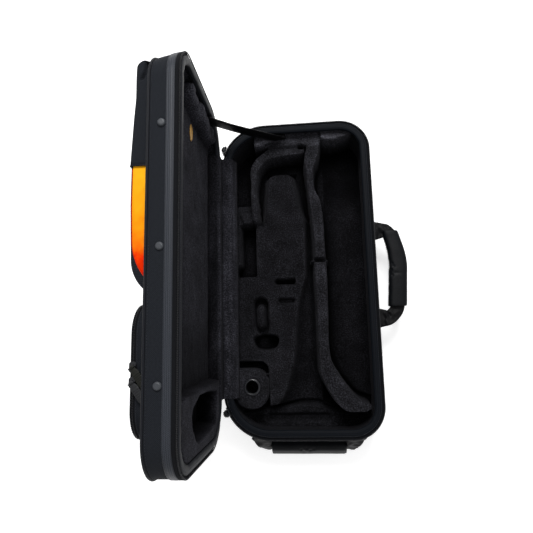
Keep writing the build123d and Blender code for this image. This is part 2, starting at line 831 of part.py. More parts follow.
def make_anchors(name, places):
    """Patches that hold a handle's webbing, following the wall at each place."""
    with BuildPart() as anchors:
        with BuildSketch(Plane.XY.offset(handle_pivot_z - patch_height / 2)):
            with Locations(*places):
                Rectangle(patch_length, patch_length)
            add(case_outline(layer_gap + patch_thickness), mode=Mode.INTERSECT)
            add(case_outline(layer_gap), mode=Mode.SUBTRACT)
        extrude(amount=patch_height)
    finish(anchors, f"{name}_handle_anchors")


side_pivot = Plane(
    origin=(case_width / 2 + handle_pivot_gap, 0, handle_pivot_z), x_dir=(1, 0, 0), z_dir=(0, 0, 1)
)
make_handle("side", side_pivot, side_half_span, side_grip_half)
make_anchors("side", [(case_width / 2, -side_half_span), (case_width / 2, side_half_span)])

droop = radians(end_handle_droop)
end_pivot = Plane(
    origin=(end_handle_x, -case_length / 2 - handle_pivot_gap, handle_pivot_z),
    x_dir=(0, -cos(droop), -sin(droop)),
    z_dir=(0, -sin(droop), cos(droop)),
)
make_handle("end", end_pivot, end_half_span, end_grip_half)
make_anchors(
    "end",
    [(end_handle_x - end_half_span, -case_length / 2), (end_handle_x + end_half_span, -case_length / 2)],
)
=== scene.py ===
import json
import math

import bmesh
import bpy
import numpy as np
from mathutils import Matrix, Vector

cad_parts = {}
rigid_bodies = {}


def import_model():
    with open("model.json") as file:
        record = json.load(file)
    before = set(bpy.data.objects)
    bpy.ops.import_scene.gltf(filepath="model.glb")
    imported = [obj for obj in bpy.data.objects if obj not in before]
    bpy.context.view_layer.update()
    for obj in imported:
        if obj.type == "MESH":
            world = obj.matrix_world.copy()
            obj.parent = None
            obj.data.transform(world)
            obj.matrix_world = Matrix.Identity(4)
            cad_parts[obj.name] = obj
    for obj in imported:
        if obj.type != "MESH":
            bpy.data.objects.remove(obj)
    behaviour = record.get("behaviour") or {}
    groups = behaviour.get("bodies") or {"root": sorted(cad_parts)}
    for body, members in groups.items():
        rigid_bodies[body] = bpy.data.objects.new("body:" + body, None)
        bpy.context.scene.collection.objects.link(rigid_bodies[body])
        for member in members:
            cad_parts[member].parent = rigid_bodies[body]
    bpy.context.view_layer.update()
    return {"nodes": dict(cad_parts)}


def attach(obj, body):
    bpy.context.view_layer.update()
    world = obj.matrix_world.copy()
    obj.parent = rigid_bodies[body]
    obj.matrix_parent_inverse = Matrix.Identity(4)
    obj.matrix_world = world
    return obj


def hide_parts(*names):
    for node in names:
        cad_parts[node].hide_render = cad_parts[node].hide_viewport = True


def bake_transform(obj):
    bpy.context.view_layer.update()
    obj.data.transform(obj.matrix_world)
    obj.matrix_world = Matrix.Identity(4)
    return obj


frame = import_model()        # the imported case's nodes, grouped under bodies from its record
print("frame loaded:", len(frame["nodes"]), "nodes")

# Every length below is in millimetres until it reaches a mesh.
# A half's own place is (across, along, depth): across runs from the hinge side to the free side,
# along from the bell end to the bow end, and depth from the rim into the half.
mm = 0.001
caseSize = {
    "width": 270.0,
    "length": 560.0,
    "baseDepth": 100.0,
    "lidDepth": 42.0,
    "hingeCorner": 80.0,     # plan radius beside the hinge
    "freeCorner": 54.0,      # plan radius of the opening side
    "footHeight": 5.0,
    "lidTaper": 8.0,         # how far the lid's bow end is pressed in at its outer face
}
rimZ = caseSize["footHeight"] + caseSize["baseDepth"]
hingeX = -caseSize["width"] / 2
halfDepth = {"base": caseSize["baseDepth"], "lid": caseSize["lidDepth"]}


def inHalf(half, places):
    # (across, along, depth) of a half in mm -> metres in the frame; the lid stands open at a right angle
    across, along, depth = np.moveaxis(np.asarray(places, float), -1, 0)
    if half == "base":
        return np.stack([across, along, rimZ - depth], -1) * mm
    pressed = np.clip(depth / caseSize["lidDepth"], 0, 1) ** 1.4 * blendStep(along, 190, 284)
    along = along - caseSize["lidTaper"] * pressed
    return np.stack([hingeX - depth, along, rimZ + across - hingeX], -1) * mm


def blendStep(value, start, end):
    t = np.clip((value - start) / (end - start), 0, 1)
    return t * t * (3 - 2 * t)


def softNoise(points, size, seed=0):
    # smooth noise from -1 to 1, its bumps about `size` apart; the same on every run
    q = np.asarray(points, float) / size + 31.7 * seed + 500.0
    cell = np.floor(q).astype(np.int64)
    share = q - cell
    share = share * share * (3 - 2 * share)
    primes = (73856093, 19349663, 83492791)
    total = 0.0
    for corner in np.ndindex(*(2,) * q.shape[-1]):
        key, weight = 0, 1.0
        for axis, step in enumerate(corner):
            key = key ^ ((cell[..., axis] + step) * primes[axis])
            weight = weight * (share[..., axis] if step else 1 - share[..., axis])
        key = (key ^ (key >> 13)) * 1274126177 & 0x7FFFFFFF
        total = total + weight * (((key >> 9) & 0xFFFF) / 32767.5 - 1)
    return total


def joined(*parts):
    # puts coordinates side by side; a single number stands for all of its column
    return np.stack(np.broadcast_arrays(*parts), -1)


def atDepth(plan, depth):
    # gives each place of a plan its third coordinate
    return joined(plan[..., 0], plan[..., 1], depth)


def fullTurn(count):
    # angles once round a circle
    return np.linspace(0, 2 * math.pi, count + 1)[:-1]


def shownMesh(name, points, faces, uvs=None, material=None):
    mesh = bpy.data.meshes.new(name)
    mesh.from_pydata(np.asarray(points, float).reshape(-1, 3).tolist(), [], faces)
    if uvs is not None:
        mesh.uv_layers.new(name="UVMap").data.foreach_set("uv", np.asarray(uvs, np.float32).ravel())
    mesh.polygons.foreach_set("use_smooth", [True] * len(mesh.polygons))
    mesh.update()
    piece = bpy.data.objects.new(name, mesh)
    bpy.context.scene.collection.objects.link(piece)
    if material is not None:
        mesh.materials.append(material)
    return piece


def setPileAndPaintedLight(piece, values):
    # a tone factor for the plush: pile standing up, mixed with painted light and shade; one value for each
    # vertex or one for all
    mesh = piece.data
    spread = np.broadcast_to(np.asarray(values, np.float32).ravel(), (len(mesh.vertices),))
    mesh.attributes.new("pileAndPaintedLight", "FLOAT", "POINT").data.foreach_set("value", np.ascontiguousarray(spread))
    return piece


def gridMesh(name, places, material, rowLengths=None, columnLengths=None, closeRows=False,
             closeColumns=False,
             flip=False, planar=None, caps=False):
    # places is rows x columns x 3 in metres; the UV map holds metres along the rows and the columns
    rows, columns = places.shape[:2]
    rowSteps = rows if closeRows else rows - 1
    columnSteps = columns if closeColumns else columns - 1
    if rowLengths is None:
        gaps = np.linalg.norm(np.roll(places, -1, 0) - places, axis=2).mean(1)
        rowLengths = np.concatenate([[0], np.cumsum(gaps)])
    if columnLengths is None:
        gaps = np.linalg.norm(np.roll(places, -1, 1) - places, axis=2).mean(0)
        columnLengths = np.concatenate([[0], np.cumsum(gaps)])
    i, j = np.meshgrid(np.arange(rowSteps), np.arange(columnSteps), indexing="ij")
    i, j = i.ravel(), j.ravel()
    corners = [(i, j), (i + 1, j), (i + 1, j + 1), (i, j + 1)]
    if flip:
        corners = corners[::-1]
    faces = np.stack([(a % rows) * columns + b % columns for a, b in corners], -1)
    if planar is not None:
        flat = np.asarray(planar)
        uvs = np.stack([flat[a % rows, b % columns] for a, b in corners], 1)
    else:
        uvs = np.stack([joined(rowLengths[a], columnLengths[b]) for a, b in corners], 1)
    faces = faces.tolist()
    uvs = uvs.reshape(-1, 2)
    if caps:     # closes both ends of a tube whose columns run round it
        first = list(range(columns))
        last = [(rows - 1) * columns + k for k in range(columns)]
        faces += [first if flip else first[::-1], last[::-1] if flip else last]
        uvs = np.concatenate([uvs, np.zeros((2 * columns, 2))])
    return shownMesh(name, places, faces, uvs, material)


def roundedOutline(low, high, radii, spacing=4.0, turn=5.0):
    # a rounded rectangle from the middle of its low-across side: points, outward normals, arc lengths
    # radii: (hinge side bow, free side bow, free side bell, hinge side bell)
    (x0, y0), (x1, y1) = low, high
    corners = [((x0 + radii[0], y1 - radii[0]), radii[0], 180),
               ((x1 - radii[1], y1 - radii[1]), radii[1], 90),
               ((x1 - radii[2], y0 + radii[2]), radii[2], 0),
               ((x0 + radii[3], y0 + radii[3]), radii[3], -90)]
    points, normals = [], []

    def addRun(start, end, normal):
        count = max(1, int(round(math.dist(start, end) / spacing)))
        for k in range(count):
            t = k / count
            points.append((start[0] + (end[0] - start[0]) * t, start[1] + (end[1] - start[1]) * t))
            normals.append(normal)

    place = (x0, (y0 + y1) / 2)
    for (centreX, centreY), radius, angle in corners:
        heading = math.radians(angle)
        arcStart = (centreX + radius * math.cos(heading), centreY + radius * math.sin(heading))
        addRun(place, arcStart, (math.cos(heading), math.sin(heading)))
        count = max(2, int(round(90 / turn)))
        for k in range(count):
            a = math.radians(angle - 90 * k / count)
            points.append((centreX + radius * math.cos(a), centreY + radius * math.sin(a)))
            normals.append((math.cos(a), math.sin(a)))
        a = math.radians(angle - 90)
        place = (centreX + radius * math.cos(a), centreY + radius * math.sin(a))
    addRun(place, (x0, (y0 + y1) / 2), (-1.0, 0.0))
    points, normals = np.array(points), np.array(normals)
    gaps = np.linalg.norm(np.roll(points, -1, 0) - points, axis=1)
    return points, normals, np.concatenate([[0], np.cumsum(gaps)])


def roundedSlab(width, height, corner, spacing=3.0, turn=30.0):
    # the points of a rounded rectangle about its own middle
    high = (width / 2, height / 2)
    return roundedOutline((-high[0], -high[1]), high, (corner,) * 4, spacing, turn)[0]


def caseOutline():
    half = (caseSize["width"] / 2, caseSize["length"] / 2)
    hinge, free = caseSize["hingeCorner"], caseSize["freeCorner"]
    return roundedOutline((-half[0], -half[1]), half, (hinge, free, free, hinge))


def caseDistance(across, along):
    # how far a place lies inside the case's outline, in mm
    centreX = np.where(across < 0, hingeX + caseSize["hingeCorner"],
                       caseSize["width"] / 2 - caseSize["freeCorner"])
    radius = np.where(across < 0, caseSize["hingeCorner"], caseSize["freeCorner"])
    beyondX = np.maximum(np.where(across < 0, centreX - across, across - centreX), 0)
    beyondY = np.maximum(np.abs(along) - (caseSize["length"] / 2 - radius), 0)
    inCorner = radius - np.hypot(beyondX, beyondY)
    sides = np.minimum(caseSize["width"] / 2 - np.abs(across), caseSize["length"] / 2 - np.abs(along))
    return np.where((beyondX > 0) & (beyondY > 0), inCorner, sides)


def profileNormals(profile, closed):
    ahead = np.roll(profile, -1, 0) - profile
    behind = profile - np.roll(profile, 1, 0)
    if not closed:
        ahead[-1], behind[0] = behind[-1], ahead[0]
    way = ahead / (np.linalg.norm(ahead, axis=1, keepdims=True) + 1e-9)
    way = way + behind / (np.linalg.norm(behind, axis=1, keepdims=True) + 1e-9)
    way = way / (np.linalg.norm(way, axis=1, keepdims=True) + 1e-9)
    return joined(-way[:, 1], way[:, 0])


def sweepAround(name, half, outline, profile, material, closed=False, relief=None, keep=None, base=0.0):
    # carries a profile of (outward, depth) round an outline; its visible side is on the left of its way
    points, normals, lengths = outline
    profile = np.asarray(profile, float)
    if keep is not None:
        points, normals = points[keep], normals[keep]
        lengths = lengths[:-1][keep]
    out = np.repeat(profile[None, :, 0], len(points), 0)
    depth = np.repeat(profile[None, :, 1], len(points), 0)
    steps = np.linalg.norm(np.diff(profile, axis=0, append=profile[:1]), axis=1)
    across = np.concatenate([[0], np.cumsum(steps)])
    if relief is not None:
        lift = relief(lengths[:len(points), None] + 0 * out, across[None, :len(profile)] + 0 * out, points)
        bulge = profileNormals(profile, closed)
        out, depth = out + lift * bulge[None, :, 0], depth + lift * bulge[None, :, 1]
    places = atDepth(points[:, None, :] + normals[:, None, :] * out[..., None], depth + base)
    return gridMesh(name, inHalf(half, places), material, lengths * mm, across * mm,
                    closeRows=keep is None, closeColumns=closed, flip=half == "base")


def finished(piece, body, replaces=()):
    # what every piece of the case is told once its mesh is final
    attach(piece, body)
    if replaces:
        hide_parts(*replaces)
    return piece


def addNode(tree, kind, settings=None, links=None):
    made = tree.nodes.new(kind)
    for key, value in (settings or {}).items():
        if isinstance(key, int) or key in made.inputs:
            made.inputs[key].default_value = value
        else:
            setattr(made, key, value)
    for key, source in (links or {}).items():
        tree.links.new(source, made.inputs[key])
    return made


def beadTree():
    # beads on a line: the line carries "outward", the way that each bead's height points
    tree = bpy.data.node_groups.new("beadRow", "GeometryNodeTree")
    tree.interface.new_socket("Line", in_out="INPUT", socket_type="NodeSocketGeometry")
    for label in ("Spacing", "Bead Length", "Bead Width", "Bead Height", "Lean"):
        tree.interface.new_socket(label, in_out="INPUT", socket_type="NodeSocketFloat")
    tree.interface.new_socket("Material", in_out="INPUT", socket_type="NodeSocketMaterial")
    tree.interface.new_socket("Beads", in_out="OUTPUT", socket_type="NodeSocketGeometry")
    given = addNode(tree, "NodeGroupInput")
    line = addNode(tree, "GeometryNodeMeshToCurve", links={"Mesh": given.outputs["Line"]})
    even = addNode(tree, "GeometryNodeResampleCurve", {"mode": "LENGTH"},
                   {"Curve": line.outputs[0], "Length": given.outputs["Spacing"]})
    bead = addNode(tree, "GeometryNodeMeshUVSphere", {"Segments": 6, "Rings": 4, "Radius": 0.5})
    size = addNode(tree, "ShaderNodeCombineXYZ", links={
        "X": given.outputs["Bead Length"], "Y": given.outputs["Bead Width"],
        "Z": given.outputs["Bead Height"]})
    turn = addNode(tree, "ShaderNodeCombineXYZ", links={"Z": given.outputs["Lean"]})
    sized = addNode(tree, "GeometryNodeTransform",
                    links={"Geometry": bead.outputs["Mesh"], "Scale": size.outputs[0],
                           "Rotation": turn.outputs[0]})
    smooth = addNode(tree, "GeometryNodeSetShadeSmooth", links={0: sized.outputs[0]})
    tangent = addNode(tree, "GeometryNodeInputTangent")
    outward = addNode(tree, "GeometryNodeInputNamedAttribute",
                      {"data_type": "FLOAT_VECTOR", "Name": "outward"})
    along = addNode(tree, "FunctionNodeAlignRotationToVector", {"axis": "X"},
                    {"Vector": tangent.outputs[0]})
    up = addNode(tree, "FunctionNodeAlignRotationToVector", {"axis": "Z", "pivot_axis": "X"},
                 {"Rotation": along.outputs[0], "Vector": outward.outputs[0]})
    placed = addNode(tree, "GeometryNodeInstanceOnPoints", links={
        "Points": even.outputs[0], "Instance": smooth.outputs[0], "Rotation": up.outputs[0]})
    real = addNode(tree, "GeometryNodeRealizeInstances", links={"Geometry": placed.outputs[0]})
    painted = addNode(tree, "GeometryNodeSetMaterial",
                      links={"Geometry": real.outputs[0], "Material": given.outputs["Material"]})
    addNode(tree, "NodeGroupOutput", links={"Beads": painted.outputs[0]})
    return tree


beadRow = beadTree()


def beadLine(name, lines, sizes, material):
    # lines: (points in metres, outward directions, closed) of each; sizes in mm: spacing, length,
    # width, height, then the lean in radians
    points, outward, edges = [], [], []
    for places, directions, closed in lines:
        first = len(points)
        points += np.asarray(places, float).tolist()
        outward += np.broadcast_to(np.asarray(directions, float), np.shape(places)).tolist()
        edges += [(first + k, first + k + 1) for k in range(len(places) - 1)]
        if closed:
            edges.append((first + len(places) - 1, first))
    mesh = bpy.data.meshes.new(name + "Line")
    mesh.from_pydata(points, edges, [])
    mesh.attributes.new("outward", "FLOAT_VECTOR", "POINT").data.foreach_set("vector", np.ravel(outward))
    holder = bpy.data.objects.new(name + "Line", mesh)
    bpy.context.scene.collection.objects.link(holder)
    grown = holder.modifiers.new("beads", "NODES")
    grown.node_group = beadRow
    values = {"Spacing": sizes[0] * mm, "Bead Length": sizes[1] * mm, "Bead Width": sizes[2] * mm,
              "Bead Height": sizes[3] * mm, "Lean": sizes[4] if len(sizes) > 4 else 0.0,
              "Material": material}
    for socket in beadRow.interface.items_tree:
        if socket.item_type == "SOCKET" and socket.name in values:
            grown[socket.identifier] = values[socket.name]
    bpy.context.view_layer.update()
    depsgraph = bpy.context.evaluated_depsgraph_get()
    plain = bpy.data.meshes.new_from_object(holder.evaluated_get(depsgraph))
    holder.modifiers.remove(grown)
    bpy.data.objects.remove(holder)
    plain.name = name
    piece = bpy.data.objects.new(name, plain)
    bpy.context.scene.collection.objects.link(piece)
    return piece


def lineAround(half, outline, out, depth, keep=None, faceOut=(1.0, 0.0), base=0.0):
    # a line for beads round an outline; faceOut is the way, (outward, depth), of the beads' height
    points, normals, _ = outline
    if keep is not None:
        points, normals = points[keep], normals[keep]
    places = atDepth(points + normals * out, depth + base)
    ahead = atDepth(normals * faceOut[0], faceOut[1])
    start = inHalf(half, places)
    return start, (inHalf(half, places + ahead) - start) / mm, keep is None


def hexColour(code):
    # sRGB hex to linear RGBA
    values = [int(code[k:k + 2], 16) / 255 for k in (1, 3, 5)]
    return tuple(v / 12.92 if v <= 0.04045 else ((v + 0.055) / 1.055) ** 2.4 for v in values) + (1.0,)


def newMaterial(name, settings):
    material = bpy.data.materials.new(name)
    material.use_nodes = True
    tree = material.node_tree
    shader = tree.nodes["Principled BSDF"]
    for key, value in settings.items():
        shader.inputs[key].default_value = value
    return material, tree, shader


def ramp(tree, factor, stops):
    made = addNode(tree, "ShaderNodeValToRGB", links={"Fac": factor})
    for k, (place, code) in enumerate(stops):
        stop = made.color_ramp.elements[k] if k < 2 else made.color_ramp.elements.new(place)
        stop.position, stop.color = place, hexColour(code)
    return made.outputs["Color"]


def mathNode(tree, operation, *values):
    # each value is a number or the output of another node
    made = addNode(tree, "ShaderNodeMath", {"operation": operation})
    for k, value in enumerate(values):
        if isinstance(value, (int, float)):
            made.inputs[k].default_value = value
        else:
            tree.links.new(value, made.inputs[k])
    return made.outputs[0]


def noiseNode(tree, place, sizeMm, detail, **settings):
    made = {"Scale": 1 / (sizeMm * mm), "Detail": detail, **settings}
    return addNode(tree, "ShaderNodeTexNoise", made, {"Vector": place}).outputs["Fac"]


def raiseSurface(tree, shader, height, strength, distance):
    raised = addNode(tree, "ShaderNodeBump", {"Strength": strength, "Distance": distance},
                     {"Height": height})
    tree.links.new(raised.outputs[0], shader.inputs["Normal"])


def wovenMaterial(name, threadMm, weave, colours, settings, bump=0.35, fleckMm=2.4, fleck=0.5, ribs=None):
    # threads crossing on the piece's own UV map, which is in metres, with a slow change of tone over them
    material, tree, shader = newMaterial(name, settings)
    place = addNode(tree, "ShaderNodeUVMap", {"uv_map": "UVMap"}).outputs["UV"]
    split = addNode(tree, "ShaderNodeSeparateXYZ", links={0: place})
    pitch = math.pi / (threadMm * mm)
    waves = [mathNode(tree, "SINE", mathNode(tree, "MULTIPLY", split.outputs[label], pitch * stretch))
             for label, stretch in zip("XY", weave)]
    height = mathNode(tree, "MULTIPLY_ADD", mathNode(tree, "MULTIPLY", *waves), 0.5, 0.5)
    if ribs:      # ribbed tape: ridges along one way of the map, ribs = (axis, pitch in mm)
        across = mathNode(tree, "MULTIPLY", split.outputs[ribs[0]], 2 * math.pi / (ribs[1] * mm))
        height = mathNode(tree, "MULTIPLY_ADD", mathNode(tree, "SINE", across), 0.35, height)
    flecks = noiseNode(tree, place, fleckMm, 3.0, Roughness=0.6)
    mixed = mathNode(tree, "MULTIPLY_ADD", flecks, fleck, mathNode(tree, "MULTIPLY", height, 1 - fleck))
    tree.links.new(ramp(tree, mixed, [(0.25, colours[0]), (0.8, colours[1])]), shader.inputs["Base Color"])
    raiseSurface(tree, shader, mixed, bump, threadMm * mm * 0.5)
    return material


def plushMaterial(name, colours, pileMm, sheen):
    # short cut pile: dark between the tufts, pale on their tips; a mesh attribute scales its colour, and
    # carries painted shade in hollows and shaded places and painted light on lit ones
    material, tree, shader = newMaterial(name, {
        "Roughness": 0.95, "Specular IOR Level": 0.03, "Sheen Weight": sheen, "Sheen Roughness": 0.45,
        "Sheen Tint": hexColour("#8c8c94")})
    place = addNode(tree, "ShaderNodeTexCoord").outputs["Object"]
    tufts = noiseNode(tree, place, pileMm, 4.0, Roughness=0.7)
    patches = noiseNode(tree, place, 34, 2.0)
    mixed = mathNode(tree, "MULTIPLY_ADD", patches, 0.16, mathNode(tree, "MULTIPLY", tufts, 0.84))
    shade = ramp(tree, mixed, [(0.36, colours[0]), (0.5, colours[1]), (0.64, colours[2])])
    pileAndPaintedLight = addNode(tree, "ShaderNodeAttribute", {"attribute_name": "pileAndPaintedLight"})
    toneWithPaintedLight = addNode(tree, "ShaderNodeVectorMath", {"operation": "SCALE"},
                    # the colour is scaled by the painted light and shade held in the mesh
                    {0: shade, "Scale": pileAndPaintedLight.outputs["Fac"]})
    tree.links.new(toneWithPaintedLight.outputs[0], shader.inputs["Base Color"])
    raiseSurface(tree, shader, tufts, 0.7, 0.7 * mm)
    return material


def mouldedMaterial(name, colours, settings, grainMm=1.2, bump=0.15):
    # a moulded or cast surface with a fine grain and a little change of tone
    material, tree, shader = newMaterial(name, settings)
    place = addNode(tree, "ShaderNodeTexCoord").outputs["Object"]
    grain = noiseNode(tree, place, grainMm, 3.0)
    tree.links.new(ramp(tree, grain, [(0.3, colours[0]), (0.75, colours[1])]), shader.inputs["Base Color"])
    raiseSurface(tree, shader, grain, bump, 0.2 * mm)
    return material


cloth = {"Roughness": 0.85, "Specular IOR Level": 0.1, "Sheen Weight": 0.03, "Sheen Roughness": 0.5}
satin = {"Roughness": 0.58, "Specular IOR Level": 0.15, "Sheen Weight": 0.02, "Sheen Roughness": 0.35}

# 600-denier nylon, plain weave: matt near-black with a blue cast; threads drawn at 1.1 mm so that they show
coverNylon = wovenMaterial("coverNylonOxford", 1.1, (1, 1), ("#101216", "#26292f"), cloth)
# rolled satin binding over foam: close weave and a soft streak of light along the roll
satinBinding = wovenMaterial("satinBinding", 0.9, (1, 0.5), ("#0b0c0f", "#1d1f25"), satin, bump=0.25,
                             fleckMm=3.0, ribs=("Y", 3.4))
# satin face of the zip's facing tape: the brightest black on the case
satinTape = wovenMaterial("satinZipFacing", 1.0, (1, 0.6), ("#1d1f24", "#3c4048"),
                          {**satin, "Roughness": 0.45, "Specular IOR Level": 0.22}, bump=0.35,
                          ribs=("Y", 2.4))
# the base rim's binding: the same satin, made darker as painted shade
satinRimPaintedShade = wovenMaterial("satinRimBindingPaintedShade", 0.9, (1, 0.5), ("#05070a", "#10141b"),
                         {**satin, "Specular IOR Level": 0.08}, bump=0.3, fleckMm=3.0, ribs=("Y", 3.4))
# polyester zip tape: matt, ribbed along its length
zipTape = wovenMaterial("polyesterZipTape", 0.9, (1, 1), ("#08090b", "#16171b"), cloth, bump=0.3,
                        ribs=("Y", 1.6))
# nylon coil zip: moulded monofilament with a low gloss
nylonCoil = mouldedMaterial("nylonCoil", ("#0e0f12", "#1c1d22"),
                            {"Roughness": 0.45, "Specular IOR Level": 0.35})
# polyester sewing thread: a lighter black than the cloth that it crosses
sewingThread = mouldedMaterial("polyesterThread", ("#1c1d22", "#34363d"),
                               {"Roughness": 0.55, "Specular IOR Level": 0.3}, 0.8)
# polypropylene webbing: chevron rows, slightly shiny
strapWebbing = wovenMaterial("polypropyleneWebbing", 1.4, (1, 1.6), ("#040405", "#0c0c0f"),
                             {"Roughness": 0.45, "Specular IOR Level": 0.13}, bump=0.5)
# cut-pile plush glued over foam
plush = plushMaterial("cutPilePlush", ("#070708", "#141416", "#2b2b30"), 1.9, 0.08)
lidPlush = plushMaterial("cutPilePlushLid", ("#0c0c0e", "#1e1e22", "#3a3a41"), 1.9, 0.08)
# cross-linked polyethylene foam shell, hidden between the cover and the lining
shellFoam = mouldedMaterial("polyethyleneFoam", ("#1a1a1c", "#262629"),
                            {"Roughness": 0.9, "Specular IOR Level": 0.2}, 2.0, 0.3)
# signal-orange ripstop nylon, saturated; painted shade turns it dark red towards its narrow end, and
# painted light turns it yellow-orange further along
orangeNylon, orangeTree, orangeShader = newMaterial("orangeRipstopNylon",
                                                    {"Roughness": 0.8, "Specular IOR Level": 0.05})
orangePlace = addNode(orangeTree, "ShaderNodeTexCoord").outputs["Object"]
orangeAlong = addNode(orangeTree, "ShaderNodeSeparateXYZ", links={0: orangePlace}).outputs["Y"]
orangeLightAndShadeSpan = addNode(orangeTree, "ShaderNodeMapRange", {"From Min": -0.048, "From Max": 0.11},
                     {"Value": orangeAlong})
orangeShift = mathNode(orangeTree, "MULTIPLY_ADD", noiseNode(orangeTree, orangePlace, 16, 3.0), 0.34, -0.17)
orangeMixed = mathNode(orangeTree, "ADD", orangeLightAndShadeSpan.outputs[0], orangeShift)
orangeLightAndShadeStops = [(0.06, "#b80600"), (0.22, "#ee3000"), (0.36, "#ff7c0a"), (0.54, "#ffa010"), (0.9, "#ffb41c")]
orangeTree.links.new(ramp(orangeTree, orangeMixed, orangeLightAndShadeStops), orangeShader.inputs["Base Color"])
orangeSeamThread = mouldedMaterial("orangeSeamCord", ("#e02806", "#f4480c"),
                                   {"Roughness": 0.6, "Specular IOR Level": 0.25})
# acetal caps of the studs: pale grey, satin
studPlastic = mouldedMaterial("acetalStud", ("#33363b", "#45484d"),
                              {"Roughness": 0.45, "Specular IOR Level": 0.4})
# thermoplastic rubber feet
footRubber = mouldedMaterial("rubberFoot", ("#101011", "#1d1d1f"),
                             {"Roughness": 0.8, "Specular IOR Level": 0.25}, 0.9, 0.25)
# zinc slider with black enamel, worn on its edges
sliderEnamel = mouldedMaterial("blackEnamelZinc", ("#16171a", "#2b2c31"),
                               {"Roughness": 0.32, "Specular IOR Level": 0.5})
# moulded PVC pull tabs: matt, olive-black
pullVinyl = mouldedMaterial("mouldedVinylPull", ("#090a06", "#17180f"),
                            {"Roughness": 0.6, "Specular IOR Level": 0.3}, 1.5)
# glossy ABS ring of the mouthpiece holder
ringPlastic = mouldedMaterial("glossABS", ("#15161a", "#202227"),
                              {"Roughness": 0.3, "Specular IOR Level": 0.5}, 4.0, 0.03)
# the same vinyl with a greyer pigment, on one of the pocket's pulls
pullVinylPale = mouldedMaterial("mouldedVinylPullGrey", ("#141517", "#26272a"),
                                {"Roughness": 0.55, "Specular IOR Level": 0.35}, 1.5)
# vinyl leathercloth wrapped round the grips: fine leather grain, a soft streak of light
gripVinyl = mouldedMaterial("vinylGrip", ("#060709", "#111317"),
                            {"Roughness": 0.5, "Specular IOR Level": 0.13}, 2.2, 0.5)
# satin brass badge
badgeBrass = mouldedMaterial("brushedBrass", ("#8f6a2c", "#c89b4e"), {"Metallic": 1.0, "Roughness": 0.38},
                             1.6, 0.1)
print("materials made:", len(bpy.data.materials))


# covers, piping, zip and rim of both halves
outline = caseOutline()
coverLook = {
    "wallPucker": 0.35,      # mm, where the wall is gathered into the piping
    "wallWave": 0.45,        # slow unevenness of cloth over foam
    "puckerSpan": 7.0,
    "panelWave": 0.25,
    "edgePinch": 0.5,
    "rowSpacing": 5.0,
}
pipingLook = {"radius": 1.8, "shift": 0.46, "stitchInset": 3.2, "stitch": (3.6, 2.5, 0.55, 0.5)}
zipLook = {
    "tapeEnd": 19.5,         # depth at which the facing tape ends
    "facingStart": 8.6,
    "coilDepth": 2.1,
    "coilOut": -0.1,
    "tooth": (2.0, 1.45, 3.0, 1.9, 0.25),   # spacing, length, width, height, lean
    "facingStitch": (3.4, 2.4, 0.5, 0.4),
    "skip": {"base": 3.0, "lid": 16.0},
}
rimLook = {"outer": -4.2, "inner": -16.8, "lip": 8.0, "cornerPucker": 0.5, "puckerSpan": 9.0,
           "stitch": (3.2, 2.4, 0.7, 0.5)}


def stitched(name, lines, sizes, body):
    finished(beadLine(name, lines, sizes, sewingThread), body)


def fieldGrid(out, spacing):
    # a grid of (across, along) that fills the case's outline grown by `out`, its rows running across
    hinge, free = caseSize["hingeCorner"], caseSize["freeCorner"]
    length, width = caseSize["length"] / 2, caseSize["width"] / 2
    turn = np.radians(np.linspace(0, 90, int((free + out) * math.pi / 2 / spacing) + 2))
    ends = length - free + (free + out) * np.sin(turn)
    middle = np.linspace(-(length - free), length - free, int(2 * (length - free) / spacing))
    along = np.concatenate([-ends[::-1][:-1], middle, ends[1:]])

    def reach(side, radius):
        beyond = np.clip(np.abs(along) - (length - radius), 0, radius + out)
        return side * (width - radius + np.sqrt(np.maximum((radius + out) ** 2 - beyond ** 2, 0)))

    share = np.linspace(0, 1, int(2 * (width + out) / spacing))
    left, right = reach(-1, hinge), reach(1, free)
    across = left[:, None] + (right - left)[:, None] * share[None, :]
    return across, np.repeat(along[:, None], len(share), 1)


def makeCover(half):
    depth = halfDepth[half]
    wall = [(-1.4, depth + 0.1), (-0.4, depth - 0.2), (0.0, depth - 1.4)]
    wall += [(0.0, d) for d in np.arange(depth - 4, 8.0, -4.0)] + [(0.0, 6.0)]

    def wallRelief(s, v, points):
        puckers = softNoise(joined(s, v * 0), coverLook["puckerSpan"], 3)
        gather = coverLook["wallPucker"] * np.exp(-v / 4.0) * puckers
        wave = coverLook["wallWave"] * softNoise(joined(s, v), 46.0, 4)
        return gather + wave * blendStep(v, 2, 16) * blendStep(depth - 6 - v, 8, 20)

    side = sweepAround(half + "CoverWall", half, outline, wall, coverNylon, relief=wallRelief)
    # the pressed lid's foam would show through its cover
    hidden = ["lid_shell"] if half == "lid" else []
    finished(side, half, [half + "_cover"] + hidden)

    across, along = fieldGrid(-0.8, coverLook["rowSpacing"])
    inside = caseDistance(across, along)
    lift = coverLook["panelWave"] * softNoise(joined(across, along), 60.0, 5) * blendStep(inside, 2, 30)
    lift = lift - coverLook["edgePinch"] * np.exp(-np.maximum(inside - 2, 0) / 4.0)
    panel = gridMesh(half + "CoverPanel", inHalf(half, joined(across, along, depth + lift)), coverNylon,
                     planar=joined(across, along) * mm, flip=half == "lid")
    finished(panel, half)

    turn = fullTurn(10)
    radius, shift = pipingLook["radius"], pipingLook["shift"]
    cord = [(shift + radius * math.cos(a), depth + shift - radius * math.sin(a)) for a in turn]
    piping = sweepAround(half + "Piping", half, outline, cord, satinBinding, closed=True)
    finished(piping, half, [half + "_piping"])
    inset = pipingLook["stitchInset"]
    seams = [lineAround(half, outline, 0.25, depth - inset),
             lineAround(half, outline, -inset - 0.6, depth - 0.15, faceOut=(0, 1))]
    stitched(half + "PipingStitches", seams, pipingLook["stitch"], half)


